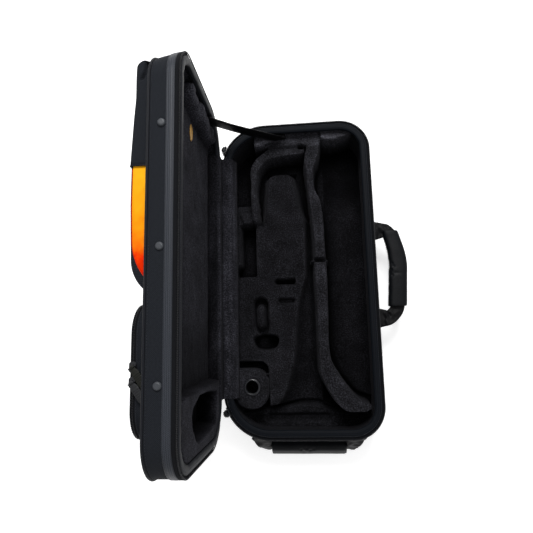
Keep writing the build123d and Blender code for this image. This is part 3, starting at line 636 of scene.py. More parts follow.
def makeZip(half):
    keep = outline[0][:, 0] > hingeX + zipLook["skip"][half]
    end, start = zipLook["tapeEnd"], zipLook["facingStart"]
    facing = [(-0.1, end + 0.3), (0.75, end), (1.0, end - 0.7), (0.7, end - 1.6), (1.0, end - 3.2),
              (1.12, (start + end) / 2), (1.0, start + 3.0), (0.7, start + 1.5), (1.0, start + 0.6),
              (0.8, start), (0.2, start - 0.1)]
    piece = sweepAround(half + "ZipFacing", half, outline, facing, satinTape, keep=keep)
    finished(piece, half, [half + "_zip_tape"])
    ridges = [(0.3, start + 0.2)]
    for k in range(3):
        top = start - 0.5 - 1.55 * k
        ridges += [(0.45, top), (0.9, top - 0.4), (0.9, top - 0.9), (0.45, top - 1.3)]
    ridges += [(0.2, 3.5), (-0.6, 3.2), (-2.2, 3.6), (-4.8, 5.2)]
    piece = sweepAround(half + "ZipTape", half, outline, ridges, zipTape, keep=keep)
    finished(piece, half)
    line = lineAround(half, outline, zipLook["coilOut"], zipLook["coilDepth"], keep, faceOut=(0, -1))
    finished(beadLine(half + "ZipCoil", [line], zipLook["tooth"], nylonCoil), half,
             [half + "_zip_coil"])
    rows = [lineAround(half, outline, 0.85, end - 1.5, keep),
            lineAround(half, outline, 0.85, start + 1.4, keep)]
    stitched(half + "ZipStitches", rows, zipLook["facingStitch"], half)


def makeRim(half):
    outer, inner, lip = rimLook["outer"], rimLook["inner"], rimLook["lip"]
    middle = (outer + inner) / 2
    roll = [(outer - 0.4, lip), (outer + 0.1, lip - 2), (outer, 3.0), (outer - 0.5, 1.7),
            (outer - 1.6, 0.8), (outer - 3.0, 0.35), (middle, 0.1), (inner + 3.2, 0.5), (inner + 1.4, 1.1),
            (inner + 0.3, 2.3), (inner - 0.1, 4.0), (inner + 0.2, 6.4), (inner + 1.6, lip + 1.0),
            (inner + 4.6, lip + 1.6), (middle + 2, lip + 0.2)]

    def rimRelief(s, v, points):
        corner = blendStep(np.abs(points[:, 1]), 195, 215)[:, None] * (np.abs(points[:, 0]) > 40)[:, None]
        folds = softNoise(joined(s, v * 0.15), rimLook["puckerSpan"], 7)
        wave = softNoise(joined(s, v * 0.3), 38.0, 8)
        inward = blendStep(v, 6, 16)
        underStrip = ((points[:, 0] < hingeX + 0.5) * blendStep(218 - np.abs(points[:, 1]), 0, 4))[:, None]
        return (rimLook["cornerPucker"] * folds * corner - 0.15) * inward + 0.25 * wave - 1.9 * underStrip

    # the base's rim takes the darker copy of the satin, whose extra darkness is painted shade
    binding = satinRimPaintedShade if half == "base" else satinBinding
    piece = sweepAround(half + "RimLip", half, outline, roll, binding, closed=True, relief=rimRelief)
    finished(piece, half, [half + "_rim_lip"])
    seam = lineAround(half, outline, outer - 1.9, 0.62, faceOut=(0, -1))
    stitched(half + "RimStitches", [seam], rimLook["stitch"], half)


for half in ("base", "lid"):
    makeCover(half)
    makeZip(half)
    makeRim(half)
print("covers, zip and rims made")


# base insert: one plush-covered pad whose levels follow loops of (across, along)
def roundedLoop(corners, reach):
    # turns each corner of a closed loop into a short curve that starts `reach` before it
    loop = np.asarray(corners, float)
    curve = []
    for before, corner, after in zip(np.roll(loop, 1, 0), loop, np.roll(loop, -1, 0)):
        start = corner + (before - corner) * min(0.45, reach / math.dist(before, corner))
        end = corner + (after - corner) * min(0.45, reach / math.dist(after, corner))
        curve += [start * (1 - t) ** 2 + corner * 2 * t * (1 - t) + end * t ** 2
                  for t in (0.0, 0.25, 0.5, 0.75, 1.0)]
    return np.array(curve)


def insideLoop(across, along, corners, reach=6.0):
    # how far inside a loop each place lies, in mm; outside it is negative
    loop = roundedLoop(corners, reach)
    nearest = np.full(across.shape, 1e9)
    inside = np.zeros(across.shape, bool)
    for (x0, y0), (x1, y1) in zip(loop, np.roll(loop, -1, 0)):
        dx, dy = x1 - x0, y1 - y0
        t = np.clip(((across - x0) * dx + (along - y0) * dy) / (dx * dx + dy * dy + 1e-9), 0, 1)
        nearest = np.minimum(nearest, np.hypot(across - x0 - t * dx, along - y0 - t * dy))
        inside ^= ((y0 > along) != (y1 > along)) & (across < dx * (along - y0) / (dy + 1e-12) + x0)
    return np.where(inside, nearest, -nearest)


def setLevel(depth, inside, top, wall=3.4, shoulder=4.0):
    # brings a place to a level with a steep wall; a raised one gets a rolled shoulder
    share = blendStep(inside, -wall / 2, wall / 2)
    edge = np.clip(shoulder - inside, 0, shoulder)
    roll = shoulder - np.sqrt(np.maximum(shoulder ** 2 - edge ** 2, 0))
    return depth * (1 - share) + (top + roll * 0.8) * share


insertLook = {
    "bottom": 88.0,
    "spacing": 1.5,
    "unevenness": 0.8,
    # a name, a level below the rim, how softly its corners turn, then its loop; later loops cut into
    # or stand on earlier ones
    "levels": [
        ("accessoryFloor", 80, 6,
         [(40, 300), (40, -30), (50, -125), (71, -180), (94, -207), (122, -219), (150, -226), (150, 300)]),
        ("valveBed", 42, 8, [(-150, 141), (-82, 141), (-66, 108), (34, 108), (34, -240), (-60, -240),
                             (-64, -154), (-150, -154)]),
        ("bedLump", 35, 5, [(-109, 124), (-86, 124), (-80, 113), (-84, 101), (-100, 99)]),
        ("bowGround", 72, 18, [(-70, 100), (-75, 160), (-76, 214), (-54, 226), (-20, 229), (34, 231),
                               (34, 100)]),
        ("bowIsland", 42, 18, [(-66, 60), (-66, 104), (-60, 128), (-60, 160), (-56, 205), (-4, 205),
                               (4, 160), (8, 128), (17, 104), (17, 60)]),
        ("bowArch", 24, 12, [(-82, 100), (-87, 161), (-85, 208), (-74, 229), (-60, 238), (-46, 247),
                             (20, 248), (20, 228), (-11, 227), (-32, 226), (-54, 222), (-70, 203),
                             (-75, 160), (-69, 100)]),
        ("endBlock", 18, 5, [(-78, 243), (50, 243), (50, 300), (-78, 300)]),
        ("endBlockHole", 46, 3, [(6, 240), (16, 240), (16, 247), (6, 247)]),
        ("flap", 12, 9, [(47, 300), (47, 250), (72, 248), (100, 256), (124, 270), (126, 300)]),
        ("valveSlot", 80, 4, [(-107, 101), (-79, 101), (-79, 3), (-116, 3), (-116, 16), (-107, 24)]),
        ("fingerSlot", 62, 4, [(-44, -4), (-8, -4), (-8, -13), (-44, -13)]),
        ("fingerSlotLow", 50, 4, [(-39, -40), (-9, -40), (-9, -48), (-39, -48)]),
        ("ringRecess", 60, 12, [(-86, -42), (-72, -34), (-58, -42), (-57, -92), (-62, -105), (-76, -105),
                                (-83, -92)]),
        ("ringIsland", 42, 8, [(-80, -54), (-72, -47), (-64, -54), (-63, -86), (-68, -94), (-77, -92),
                               (-80, -80)]),
        ("tonePocket", 74, 11, [(-85, -107), (-64, -104), (-42, -107), (-41, -118), (-46, -129),
                                (-63, -131), (-81, -129), (-86, -118)]),
        ("crescent", 30, 6, [(-150, -149), (-64, -149), (-57, -157), (-61, -177), (-68, -176), (-75, -164),
                             (-150, -166)]),
        ("crescentGap", 68, 4, [(-124, -152), (-70, -152), (-61, -160), (-60, -174), (-70, -174),
                                (-76, -166), (-124, -166)]),
        ("cradle", 60, 0, []),
        ("shelf", 66, 8, [(-150, -236), (-110, -243), (-69, -237), (-5, -229), (28, -229), (63, -242),
                          (150, -240), (150, -300), (-150, -300)]),
        ("shelfCrease", 82, 6, [(-60, -231), (-5, -222), (28, -222), (58, -233), (58, -239), (28, -228),
                                (-5, -228), (-60, -237)]),
        ("shelfSlot", 73, 8, [(-66, -246), (48, -246), (48, -259), (-66, -259)]),
        ("divider", 16, 10, [(19, 236), (15, 214), (21, 153), (25, 107), (28, 60), (28, -15), (28, -117),
                             (30, -173), (40, -198), (53, -222), (73, -239), (107, -241), (120, -232),
                             (115, -225), (93, -216), (75, -191), (52, -155), (49, -117), (50, -87),
                             (51, -1), (50, 58), (49, 105), (45, 136), (34, 160), (33, 193), (45, 223),
                             (50, 250), (22, 250)]),
        ("dividerNotch", 30, 3, [(22, 29), (54, 29), (54, 22), (22, 22)]),
    ],
    # how wide the step to a level is, where it isn't 3.4 mm
    "steps": {"bowIsland": 13.0, "bowGround": 26.0, "valveBed": 8.0, "ringIsland": 7.0, "shelf": 5.0,
              "shelfSlot": 7.0},
    # the island's end slopes down: by how much, from and to along the case, within a loop
    "islandSlope": (10.0, 168, 204, [(-60, 94), (-60, 210), (4, 210), (4, 94)]),
    # where the bell's tube lies: along the case, its left and right edge, its floor
    "cradle": [(214, 13, 24, 66), (150, 15, 25, 66), (104, 13, 27, 66), (0, 12, 28, 64), (-60, -4, 29, 63),
               (-100, -9, 29, 66), (-134, -11, 30, 69), (-160, -15, 32, 71), (-181, -21, 36, 73),
               (-200, -27, 42, 75), (-217, -35, 52, 76), (-231, -48, 74, 76), (-241, -74, 100, 76)],
    # across, from and to along the divider
    "creases": [(14.0, 110, 226), (19.0, 118, 214), (29.5, 112, 200), (37.0, 104, 180)],
    # tone of the plush, mostly painted light and shade: the whole insert, then places with their share and
    # how softly it fades
    "pileAndPaintedLight": [
        (1.05, 1, [(-150, 300), (-150, -140), (10, -140), (10, 300)]),
        (1.5, 4, [(10, 110), (10, -130), (31, -130), (31, 110)]),
        (0.95, 16, [(-30, -150), (30, -150), (60, -234), (-60, -234)]),
        (1.35, 4, [(-64, -130), (-12, -130), (-20, -175), (-34, -214), (-62, -222)]),
        (1.5, 4, [(-134, -158), (-58, -158), (-56, -236), (-134, -236)]),
        # painted shade over the accessory compartment's deep floor
        (0.75, 14, [(54, 130), (150, 130), (150, -230), (54, -150)]),
        # painted shade in the accessory compartment's deep top corner
        (0.3, 26, [(50, 300), (150, 300), (150, 140), (40, 140)]),
        # painted light on the end block, which stands in the bow wall's shadow
        (2.7, 5, [(-82, 238), (46, 238), (46, 300), (-82, 300)]),
        (1.6, 3, [(-90, 150), (-90, 240), (-50, 252), (18, 250), (18, 224), (-40, 220), (-66, 196),
                  (-68, 150)]),
        # painted light on the lining flap at the bow end
        (3.6, 4, [(48, 300), (48, 250), (72, 248), (100, 256), (126, 270), (128, 300)]),
        (1.35, 1, [(18, 240), (18, -170), (34, -205), (60, -244), (120, -244), (120, -222), (80, -200),
                   (52, -140), (52, 240)]),
        (1.1, 6, [(-130, -238), (150, -238), (150, -300), (-130, -300)]),
    ],
}


def spreadOut(values, steps):
    # each value becomes the mean of its surroundings; more steps reach further
    for _ in range(steps):
        for axis in (0, 1):
            padded = np.concatenate([values.take([0], axis), values, values.take([-1], axis)], axis)
            count = values.shape[axis]
            before, after = padded.take(range(count), axis), padded.take(range(2, count + 2), axis)
            values = (before + 2 * values + after) / 4
    return values


def paintedHollowShade(depth, near=40, far=240):
    # painted shade: cloth is darkened in hollows, where ambient light reaches least, and a painted
    # highlight makes raised edges paler
    narrow, wide = depth - spreadOut(depth, near), depth - spreadOut(depth, far)
    dark = np.exp(-np.clip(narrow, 0, 30) / 18.0 - np.clip(wide, 0, 30) / 24.0)
    return dark * (1 + 0.035 * np.clip(-narrow, 0, 12))


def makeInsert():
    across, along = fieldGrid(-11.2, insertLook["spacing"])
    spots = joined(across, along)
    wander = 1.1 * softNoise(spots, 34.0, 10)        # hand-glued cloth: no edge is quite straight
    depth = np.full(across.shape, insertLook["bottom"])
    for name, top, reach, loop in insertLook["levels"]:
        if name == "cradle":
            places, left, right, floor = np.array(insertLook["cradle"][::-1], float).T
            left, right, floor = (np.interp(along, places, side) for side in (left, right, floor))
            t = (across - left) / (right - left) * 2 - 1
            hollow = np.sqrt(np.clip(1 - t ** 2, 0, 1)) ** 0.8
            inside = (np.abs(t) < 1) & (along < 214) & (along > -245)
            depth = np.where(inside, np.maximum(depth, 42 + (floor - 42) * hollow), depth)
            continue
        inside = insideLoop(across, along, loop, reach) + wander
        hollowed = top > 50 and name not in ("accessoryFloor", "shelf")
        levelled = setLevel(depth, inside, top, insertLook["steps"].get(name, 3.4),
                            0.4 if hollowed else 4.5)
        depth = np.minimum(depth, levelled) if name == "bowIsland" else levelled
    fall, start, end, loop = insertLook["islandSlope"]
    depth = depth + fall * blendStep(along, start, end) * blendStep(insideLoop(across, along, loop), 0, 6)
    for x, low, high in insertLook["creases"]:
        line = x + 2.2 * softNoise(joined(along * 0 + x, along), 30.0, 14)
        groove = 2.6 * np.exp(-((across - line) / 1.5) ** 2)
        depth = depth + groove * blendStep(along, low, low + 14) * blendStep(high - along, 0, 14)
    depth = depth - insertLook["unevenness"] * softNoise(spots, 26.0, 12)
    depth = depth - 0.45 * softNoise(spots, 7.0, 13) * blendStep(caseDistance(across, along), 12, 16)
    insert = gridMesh("insertPlush", inHalf("base", joined(across, along, np.minimum(depth, 90.0))), plush,
                      planar=spots * mm, flip=True)
    pileAndPaintedLight = np.ones(across.shape)
    for share, fade, loop in insertLook["pileAndPaintedLight"]:
        pileAndPaintedLight = pileAndPaintedLight + (share - pileAndPaintedLight) * blendStep(insideLoop(across, along, loop, 8.0), -fade, fade)
    # painted shade in the hollows and painted highlight on raised edges, times a random change of tone
    setPileAndPaintedLight(insert, pileAndPaintedLight * paintedHollowShade(depth) * (1 + 0.12 * softNoise(spots, 22.0, 16)))
    finished(insert, "base",
             ["insert_floor_pad", "valve_bed", "bell_channel_pad", "bell_divider", "bow_surround",
                                       "bow_floor_pad", "bow_end_block", "accessory_floor_pad"])


makeInsert()


def outwardFaces(piece):
    # a closed shell whose doubles are merged and whose faces are turned outwards
    shell = bmesh.new()
    shell.from_mesh(piece.data)
    bmesh.ops.remove_doubles(shell, verts=shell.verts, dist=1e-6)
    bmesh.ops.recalc_face_normals(shell, faces=shell.faces)
    shell.to_mesh(piece.data)
    shell.free()
    return piece


def ringShell(name, places, material):
    # closes a stack of rings (rows) at both ends
    return outwardFaces(gridMesh(name, np.asarray(places, float), material, closeColumns=True, caps=True))


def liningWall(half, end, replaces):
    wall = [(-9.6, 7.2), (-11.0, 8.2), (-11.5, 10.5)]
    wall += [(-11.6, d) for d in (*np.arange(14.0, end, 5.0), end)]

    def wallRelief(s, v, points):
        return 0.5 * softNoise(joined(s, v), 30.0, 15) * blendStep(v, 4, 14)

    material = plush if half == "base" else lidPlush
    piece = sweepAround(half + "LiningWall", half, outline, wall, material, relief=wallRelief)
    return finished(setPileAndPaintedLight(piece, 0.9), half, replaces)


liningWall("base", 91.0, ["base_liner"])

holderLook = {"low": (-120.5, -233.0), "high": (-60.0, -163.0), "radii": (5, 27, 27, 30), "top": 22.0,
              "hole": (-88.0, -195.0),
              "holeRadius": 11.0, "sleeve": 32.0, "flange": 14.6, "flangeHeight": 1.5}


def makeHolder():
    points, _, _ = roundedOutline(holderLook["low"], holderLook["high"], holderLook["radii"], 3.0, 6.0)
    hole = np.array(holderLook["hole"])
    way = points - hole
    reach = np.linalg.norm(way, axis=1, keepdims=True)
    way = way / reach
    outside = np.maximum(12.2 - caseDistance(points[:, 0], points[:, 1]), 0)[:, None]
    reach = reach - outside * 1.25
    top, radius = holderLook["top"], holderLook["holeRadius"]
    rings = [(radius + 1.6, 0.0, 70.0), (radius + 1.8, 0.0, top + 2), (radius + 2.6, 0.0, top + 0.4)]
    rings += [(radius + 3.0, t, top - 1.1 * math.sin(math.pi * min(t * 1.6, 1)) + 1.0)
              for t in (0.05, 0.2, 0.4, 0.6, 0.8)]
    rings += [(radius + 3.0, 0.9, top + 1.1), (radius + 3.0, 0.97, top + 3.0),
              (radius + 3.0, 1.0, top + 6.0), (radius + 3.0, 1.0, top + 20.0), (radius + 3.0, 1.0, 87.0)]
    places = []
    for start, share, level in rings:
        away = start + (reach - start) * share
        plan = hole + way * away
        lift = 0.6 * softNoise(plan, 14.0, 17)
        places.append(atDepth(plan, level + lift * (share > 0)))
    block = ringShell("mouthpieceBlock", inHalf("base", places), plush)
    finished(setPileAndPaintedLight(block, 1.5), "base", ["mouthpiece_block"])

    turn = fullTurn(64)
    circle = joined(np.cos(turn), np.sin(turn))
    flange, tall = holderLook["flange"], holderLook["flangeHeight"]
    section = [(radius, top - tall + 0.6), (radius + 0.5, top - tall + 0.1), (radius + 1.3, top - tall),
               (flange - 1.2, top - tall + 0.3), (flange - 0.3, top - 0.6), (flange, top),
               (flange - 1.6, top + 0.2), (flange - 1.6, holderLook["sleeve"]),
               (radius + 0.4, holderLook["sleeve"] + 0.4), (radius, holderLook["sleeve"])]
    places = [atDepth(hole + circle * r, d) for r, d in section]
    ring = gridMesh("mouthpieceRing", inHalf("base", places), ringPlastic, closeRows=True,
                    closeColumns=True)
    finished(outwardFaces(ring), "base", ["mouthpiece_ring"])


makeHolder()
print("base insert made")


# lid lining
lidLook = {
    "panel": 22.0,
    # up the lid, along it
    "bolster": [(12, 263), (30, 230), (70, 227), (120, 229), (160, 232), (196, 240), (196, 263)],
    "bolsterTop": 4.0,
    "bolsterFolds": [(150.0, 0.5), (112.0, -0.35), (70.0, 0.3), (40.0, -0.2)],
    "bellPad": [(24, -176), (300, -186), (300, -300), (24, -300)],
    "bellRecess": [(42, -195), (111, -190), (160, -190), (198, -204), (202, -222), (176, -247), (120, -246),
                   (54, -240)],
    "recessFloor": 33.0,
    # up the lid, along it, half its width and height, thickness
    "badge": (138.0, 207.0, 6.5, 14.5, 1.2),
    "badgeRings": [(1.0, 0.3), (1.0, -0.6), (0.965, -1.0), (0.9, -1.15), (0.85, -1.0), (0.82, -0.72),
                   (0.6, -0.8), (0.3, -0.86), (0.02, -0.88)],
}


def makeLidLining():
    across, along = fieldGrid(-11.2, 1.8)
    up = across - hingeX
    spots = joined(up, along)
    depth = np.full(across.shape, lidLook["panel"]) + 0.5 * softNoise(spots, 40.0, 21)
    depth = setLevel(depth, insideLoop(up, along, lidLook["bellPad"]), 1.4, shoulder=5.0)
    depth = setLevel(depth, insideLoop(up, along, lidLook["bellRecess"], 9.0), lidLook["recessFloor"],
                     wall=4.0, shoulder=0.4)
    inside = insideLoop(up, along, lidLook["bolster"], 12.0)
    lumps = 3.0 * softNoise(joined(up, along * 0.5), 24.0, 23)
    lumps = lumps + 1.8 * softNoise(spots / (1.0, 2.5), 8.0, 24)
    depth = setLevel(depth, inside, lidLook["bolsterTop"] + lumps, wall=6.0, shoulder=12.0)
    for centre, slope in lidLook["bolsterFolds"]:      # deep folds across the bolster
        line = (up - centre + slope * (along - 245)) / 2.4
        depth = depth + 6.5 * np.exp(-line ** 2) * blendStep(inside, -1, 5)
    rimSide = blendStep(caseDistance(across, along), 14, 19)
    # tucked under the rolled rim
    depth = np.where(depth < 9.0, depth * rimSide + 9.0 * (1 - rimSide), depth)
    depth = depth - 0.4 * softNoise(spots, 9.0, 22)
    places = joined(across, along, np.clip(depth, 0.6, 34.0))
    lining = gridMesh("lidLining", inHalf("lid", places), lidPlush, planar=spots * mm)
    # the panel is darker from 60 to 176 mm towards the bell end
    pileAndPaintedLight = 1.0 - 0.64 * blendStep(-along, 60, 130) * blendStep(along, -196, -176)
    # painted light on the bolster
    pileAndPaintedLight = pileAndPaintedLight + 0.6 * blendStep(inside, -2, 6)
    # painted shade: the bell recess is made nearly black
    pileAndPaintedLight = pileAndPaintedLight * (1 - 0.985 * blendStep(insideLoop(up, along, lidLook["bellRecess"], 9.0), -4.0, 0.5))
    # painted shade in hollows and painted highlight on edges, times a random change of tone
    setPileAndPaintedLight(lining, pileAndPaintedLight * paintedHollowShade(depth, 20, 60) * (1 + 0.12 * softNoise(spots, 22.0, 18)))
    finished(lining, "lid", ["lid_panel_pad", "lid_bell_pad", "lid_bow_bolster"])
    liningWall("lid", 34.5, ["lid_liner"])

    up, along, wide, tall, thick = lidLook["badge"]
    turn = fullTurn(64)
    circle = joined(np.cos(turn), np.sin(turn))
    places = []
    for share, lift in lidLook["badgeRings"]:
        plan = np.array([up + hingeX, along]) + circle * share * (wide, tall)
        places.append(atDepth(plan, lidLook["panel"] + lift * thick / 1.15))
    finished(ringShell("lidBadge", inHalf("lid", places), badgeBrass), "lid", ["lid_badge"])


makeLidLining()
print("lid lining made")


# hinge: an inner plush strip and an outer cloth, shaped for the lid standing open
hingeLook = {
    "stripEnds": (-212.0, 217.5),
    "strip": [(-110.2, -21.0), (-112.6, -13.0), (-115.0, -5.5), (-116.9, -1.7), (-119.6, -0.5),
              (-126.0, -0.35), (-131.5, -0.4), (-134.0, -0.3), (-135.2, 0.9), (-135.5, 3.5), (-135.4, 9.0),
              (-135.5, 15.0), (-136.6, 18.2), (-141.0, 19.6), (-149.0, 20.6), (-156.0, 21.0)],
    "clothEnds": (-201.0, 201.0),
    "cloth": [(-135.6, -24.0), (-135.7, -16.0), (-135.7, -8.0), (-135.9, -3.6), (-136.9, -1.6),
              (-139.0, -0.75), (-145.0, -0.6), (-152.0, -0.6), (-159.0, -0.5)],
    "thickness": 1.1,
    "clothThickness": 0.7,
}


def ribbon(name, path, ends, thickness, material, step=6.0, side=1, relief=0.0, seed=31, hem=0.0):
    # a band with a rounded section: path is (x, height over the rim) in mm, carried along y
    path = np.asarray(path, float)
    normals = profileNormals(path, False) * side
    under = (path - normals * thickness)[::-1]
    half = (ends[1] - ends[0]) / 2
    along = np.linspace(ends[0], ends[1], int(2 * half / step) + 1)
    if hem:      # the ends are turned over and sewn down
        near = np.array([0.0, 0.6, 1.6, 3.0, 6.0, 9.0, 12.0, 13.2, 14.0, 14.8, 16.0])
        middle = np.arange(ends[0] + 20, ends[1] - 19, step)
        along = np.concatenate([ends[0] + near, middle, (ends[1] - near)[::-1]])
    rows = []
    for y in along:
        fromEnd = half - abs(y - (ends[0] + ends[1]) / 2)
        lift = relief * (softNoise(joined(path[:, 0] + path[:, 1], y), 17.0, seed)
                         + 1.2 * softNoise(joined(path[:, 0] - path[:, 1], y * 0.1), 4.5, seed + 1))
        fall = 1 - 0.8 * blendStep(-fromEnd, -5, 0)
        if hem:
            arch = math.sqrt(max(1 - ((fromEnd - 6.0) / 6.2) ** 2, 0.0)) ** 0.6
            turned = hem * arch if fromEnd < 12.1 else 0.0
            lift = lift * 0.5 + turned - 0.5 * math.exp(-((fromEnd - 13.8) / 1.0) ** 2)
        upper = path + normals * (lift * fall)[:, None]
        loop = np.concatenate([upper, under])
        rows.append(joined(loop[:, 0], y, loop[:, 1] + rimZ) * mm)
    return ringShell(name, rows, material)


strip = ribbon("hingeInnerStrip", hingeLook["strip"], hingeLook["stripEnds"], hingeLook["thickness"],
               lidPlush, relief=0.6, hem=1.5)
stripPlaces = np.array([vertex.co for vertex in strip.data.vertices]) / mm
# painted shade: a dark line along the fold, and the strip darker where it runs into the lid; the streaks
# are a random tone in the pile
paintedFoldShade = np.exp(-((stripPlaces[:, 0] + 134.5) / 2.0) ** 2) * (stripPlaces[:, 2] < rimZ + 12)
intoLidPaintedShade = blendStep(-stripPlaces[:, 0], 135.2, 138.0)
streaks = softNoise(joined(stripPlaces[:, 0] - stripPlaces[:, 2], stripPlaces[:, 1] * 0.06), 3.4, 37)
setPileAndPaintedLight(strip, (1.25 - 0.8 * paintedFoldShade) * (1 - 0.62 * intoLidPaintedShade) * (1 + 0.5 * streaks))
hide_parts("base_hinge_strip", "lid_hinge_strip")
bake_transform(strip)
cloth = ribbon("hingeOuterCloth", hingeLook["cloth"], hingeLook["clothEnds"], hingeLook["clothThickness"],
               coverNylon, side=-1, relief=0.25, seed=33)
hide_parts("base_hinge_cloth", "lid_hinge_cloth")
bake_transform(cloth)

# stay strap between the end walls at the bow end
strapLook = {"lid": (-146.0, 80.0), "base": (-27.0, -12.0), "width": 24.0, "thickness": 1.4, "y": 256.7,
             "sag": 3.0,
             # the sewn ends: their middle, (x, height over the rim), and their size
             "patches": {"lid": ((-150.0, 80.0), (12.6, 22.0)), "base": ((-27.0, -16.0), (22.0, 12.6))},
             "patchRings": [(0.86, 257.7), (0.98, 258.4), (1.0, 260.0), (1.0, 265.0), (0.98, 267.5)]}


def makeStrap():
    base, lid = np.array(strapLook["base"]), np.array(strapLook["lid"])
    way = (lid - base) / np.linalg.norm(lid - base)
    wide = np.array([-way[1], way[0]])
    half, thin = strapLook["width"] / 2, strapLook["thickness"] / 2
    section = [(-half, 0.0), (-half + 0.6, thin), (-half * 0.3, thin), (half * 0.3, thin),
               (half - 0.6, thin), (half, 0.0), (half - 0.6, -thin), (half * 0.3, -thin),
               (-half * 0.3, -thin), (-half + 0.6, -thin)]
    rows = []
    for t in np.linspace(0, 1, 46):
        centre = base + (lid - base) * t - np.array([0, strapLook["sag"]]) * math.sin(math.pi * t)
        loop = []
        for across, out in section:
            curl = 0.9 * softNoise(np.array([[t * 150.0, across * 0.5]]), 24.0, 35)[0]
            curl = curl * blendStep(t, 0, 0.1) * blendStep(1 - t, 0, 0.1)
            spot = centre + wide * across
            loop.append((spot[0], strapLook["y"] - out - curl - 0.7 * math.sin(math.pi * t),
                         spot[1] + rimZ))
        rows.append(np.array(loop) * mm)
    strap = ringShell("stayStrap", rows, strapWebbing)
    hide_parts("stay_strap")
    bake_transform(strap)
    for half, (centre, size) in strapLook["patches"].items():
        loop = roundedSlab(*size, 2)
        rows = [joined(centre[0] + loop[:, 0] * shrink, y, centre[1] + rimZ + loop[:, 1] * shrink) * mm
                for shrink, y in strapLook["patchRings"]]
        finished(ringShell(half + "StrapAnchor", rows, strapWebbing), half,
                 [half + "_strap_anchor"])


makeStrap()
print("hinge and stay strap made")


# music pocket on the lid's face: places are (up the lid, along it, height over the face)
def onLidFace(places):
    up, along, height = np.moveaxis(np.asarray(places, float), -1, 0)
    return inHalf("lid", joined(up + hingeX, along, halfDepth["lid"] + height))


musicLook = {
    "low": 30.0, "high": 250.0, "toe": -57.6, "shoulder": -12.0, "mouth": 228.0,
    # along the lid, height over its face
    "profile": [(-70, 27.2), (-12, 27.2), (25, 28.4), (60, 29.4), (110, 29.2), (228, 22.6)],
    "orangeToe": -44.0, "orangeShoulder": 10.0, "border": 2.2,
    "hoodTip": 265.4, "hoodCentre": 254.0, "hoodRadius": 11.4, "hoodFoot": 258.0, "hoodClear": 1.9,
    "hoodEdge": 110.0,
    "hoodProfile": [(110, 31.0), (175, 27.6), (206, 25.4), (236, 25.6), (254, 25.0)],
    "hoodCrease": [(233, 19.4), (237, 15.6), (247, 11.6), (262, 9.6)],
    "billow": 1.5,
    "stitch": (3.4, 2.5, 0.5, 0.45), "orangeCord": (1.1, 1.5, 0.9, 0.9),
}


def arcDown(along, shoulder, toe, height):
    # what a round fall from the shoulder to the toe leaves of a height
    run = shoulder - toe
    radius = (run ** 2 + height ** 2) / (2 * height)
    way = np.clip(shoulder - along, 0, run)
    return height - (radius - np.sqrt(radius ** 2 - way ** 2))


def musicHeight(along):
    top = np.interp(along, *np.array(musicLook["profile"], float).T)
    return np.maximum(arcDown(along, musicLook["shoulder"], musicLook["toe"], top), 0.0)


def orangeHeight(along):
    top = musicHeight(np.maximum(along, musicLook["shoulder"])) - musicLook["border"]
    return np.maximum(np.minimum(arcDown(along, musicLook["orangeShoulder"], musicLook["orangeToe"], top),
                                 musicHeight(along) - musicLook["border"]), 0.0)


def boxSection(low, high, foot, top, radius, count=26, wall=3):
    # a path over a low box: up its far side, across its top and down its near side
    radius = min(radius, (top - foot) * 0.9 + 0.01)
    rise = foot + (top - radius - foot) * np.linspace(0, 1, wall)
    path = [(high, z) for z in rise]
    path += [(high - radius + radius * math.sin(a), top - radius + radius * math.cos(a))
             for a in np.radians([67.5, 45, 22.5, 0])]
    path += [(x, top) for x in np.linspace(high - radius, low + radius, count)[1:-1]]
    path += [(low + radius - radius * math.sin(a), top - radius + radius * math.cos(a))
             for a in np.radians([0, 22.5, 45, 67.5])]
    return np.array(path + [(low, z) for z in rise[::-1]])


def thickened(piece, thickness):
    wall = piece.modifiers.new("thickness", "SOLIDIFY")
    wall.thickness, wall.offset = thickness * mm, -1.0
    return piece


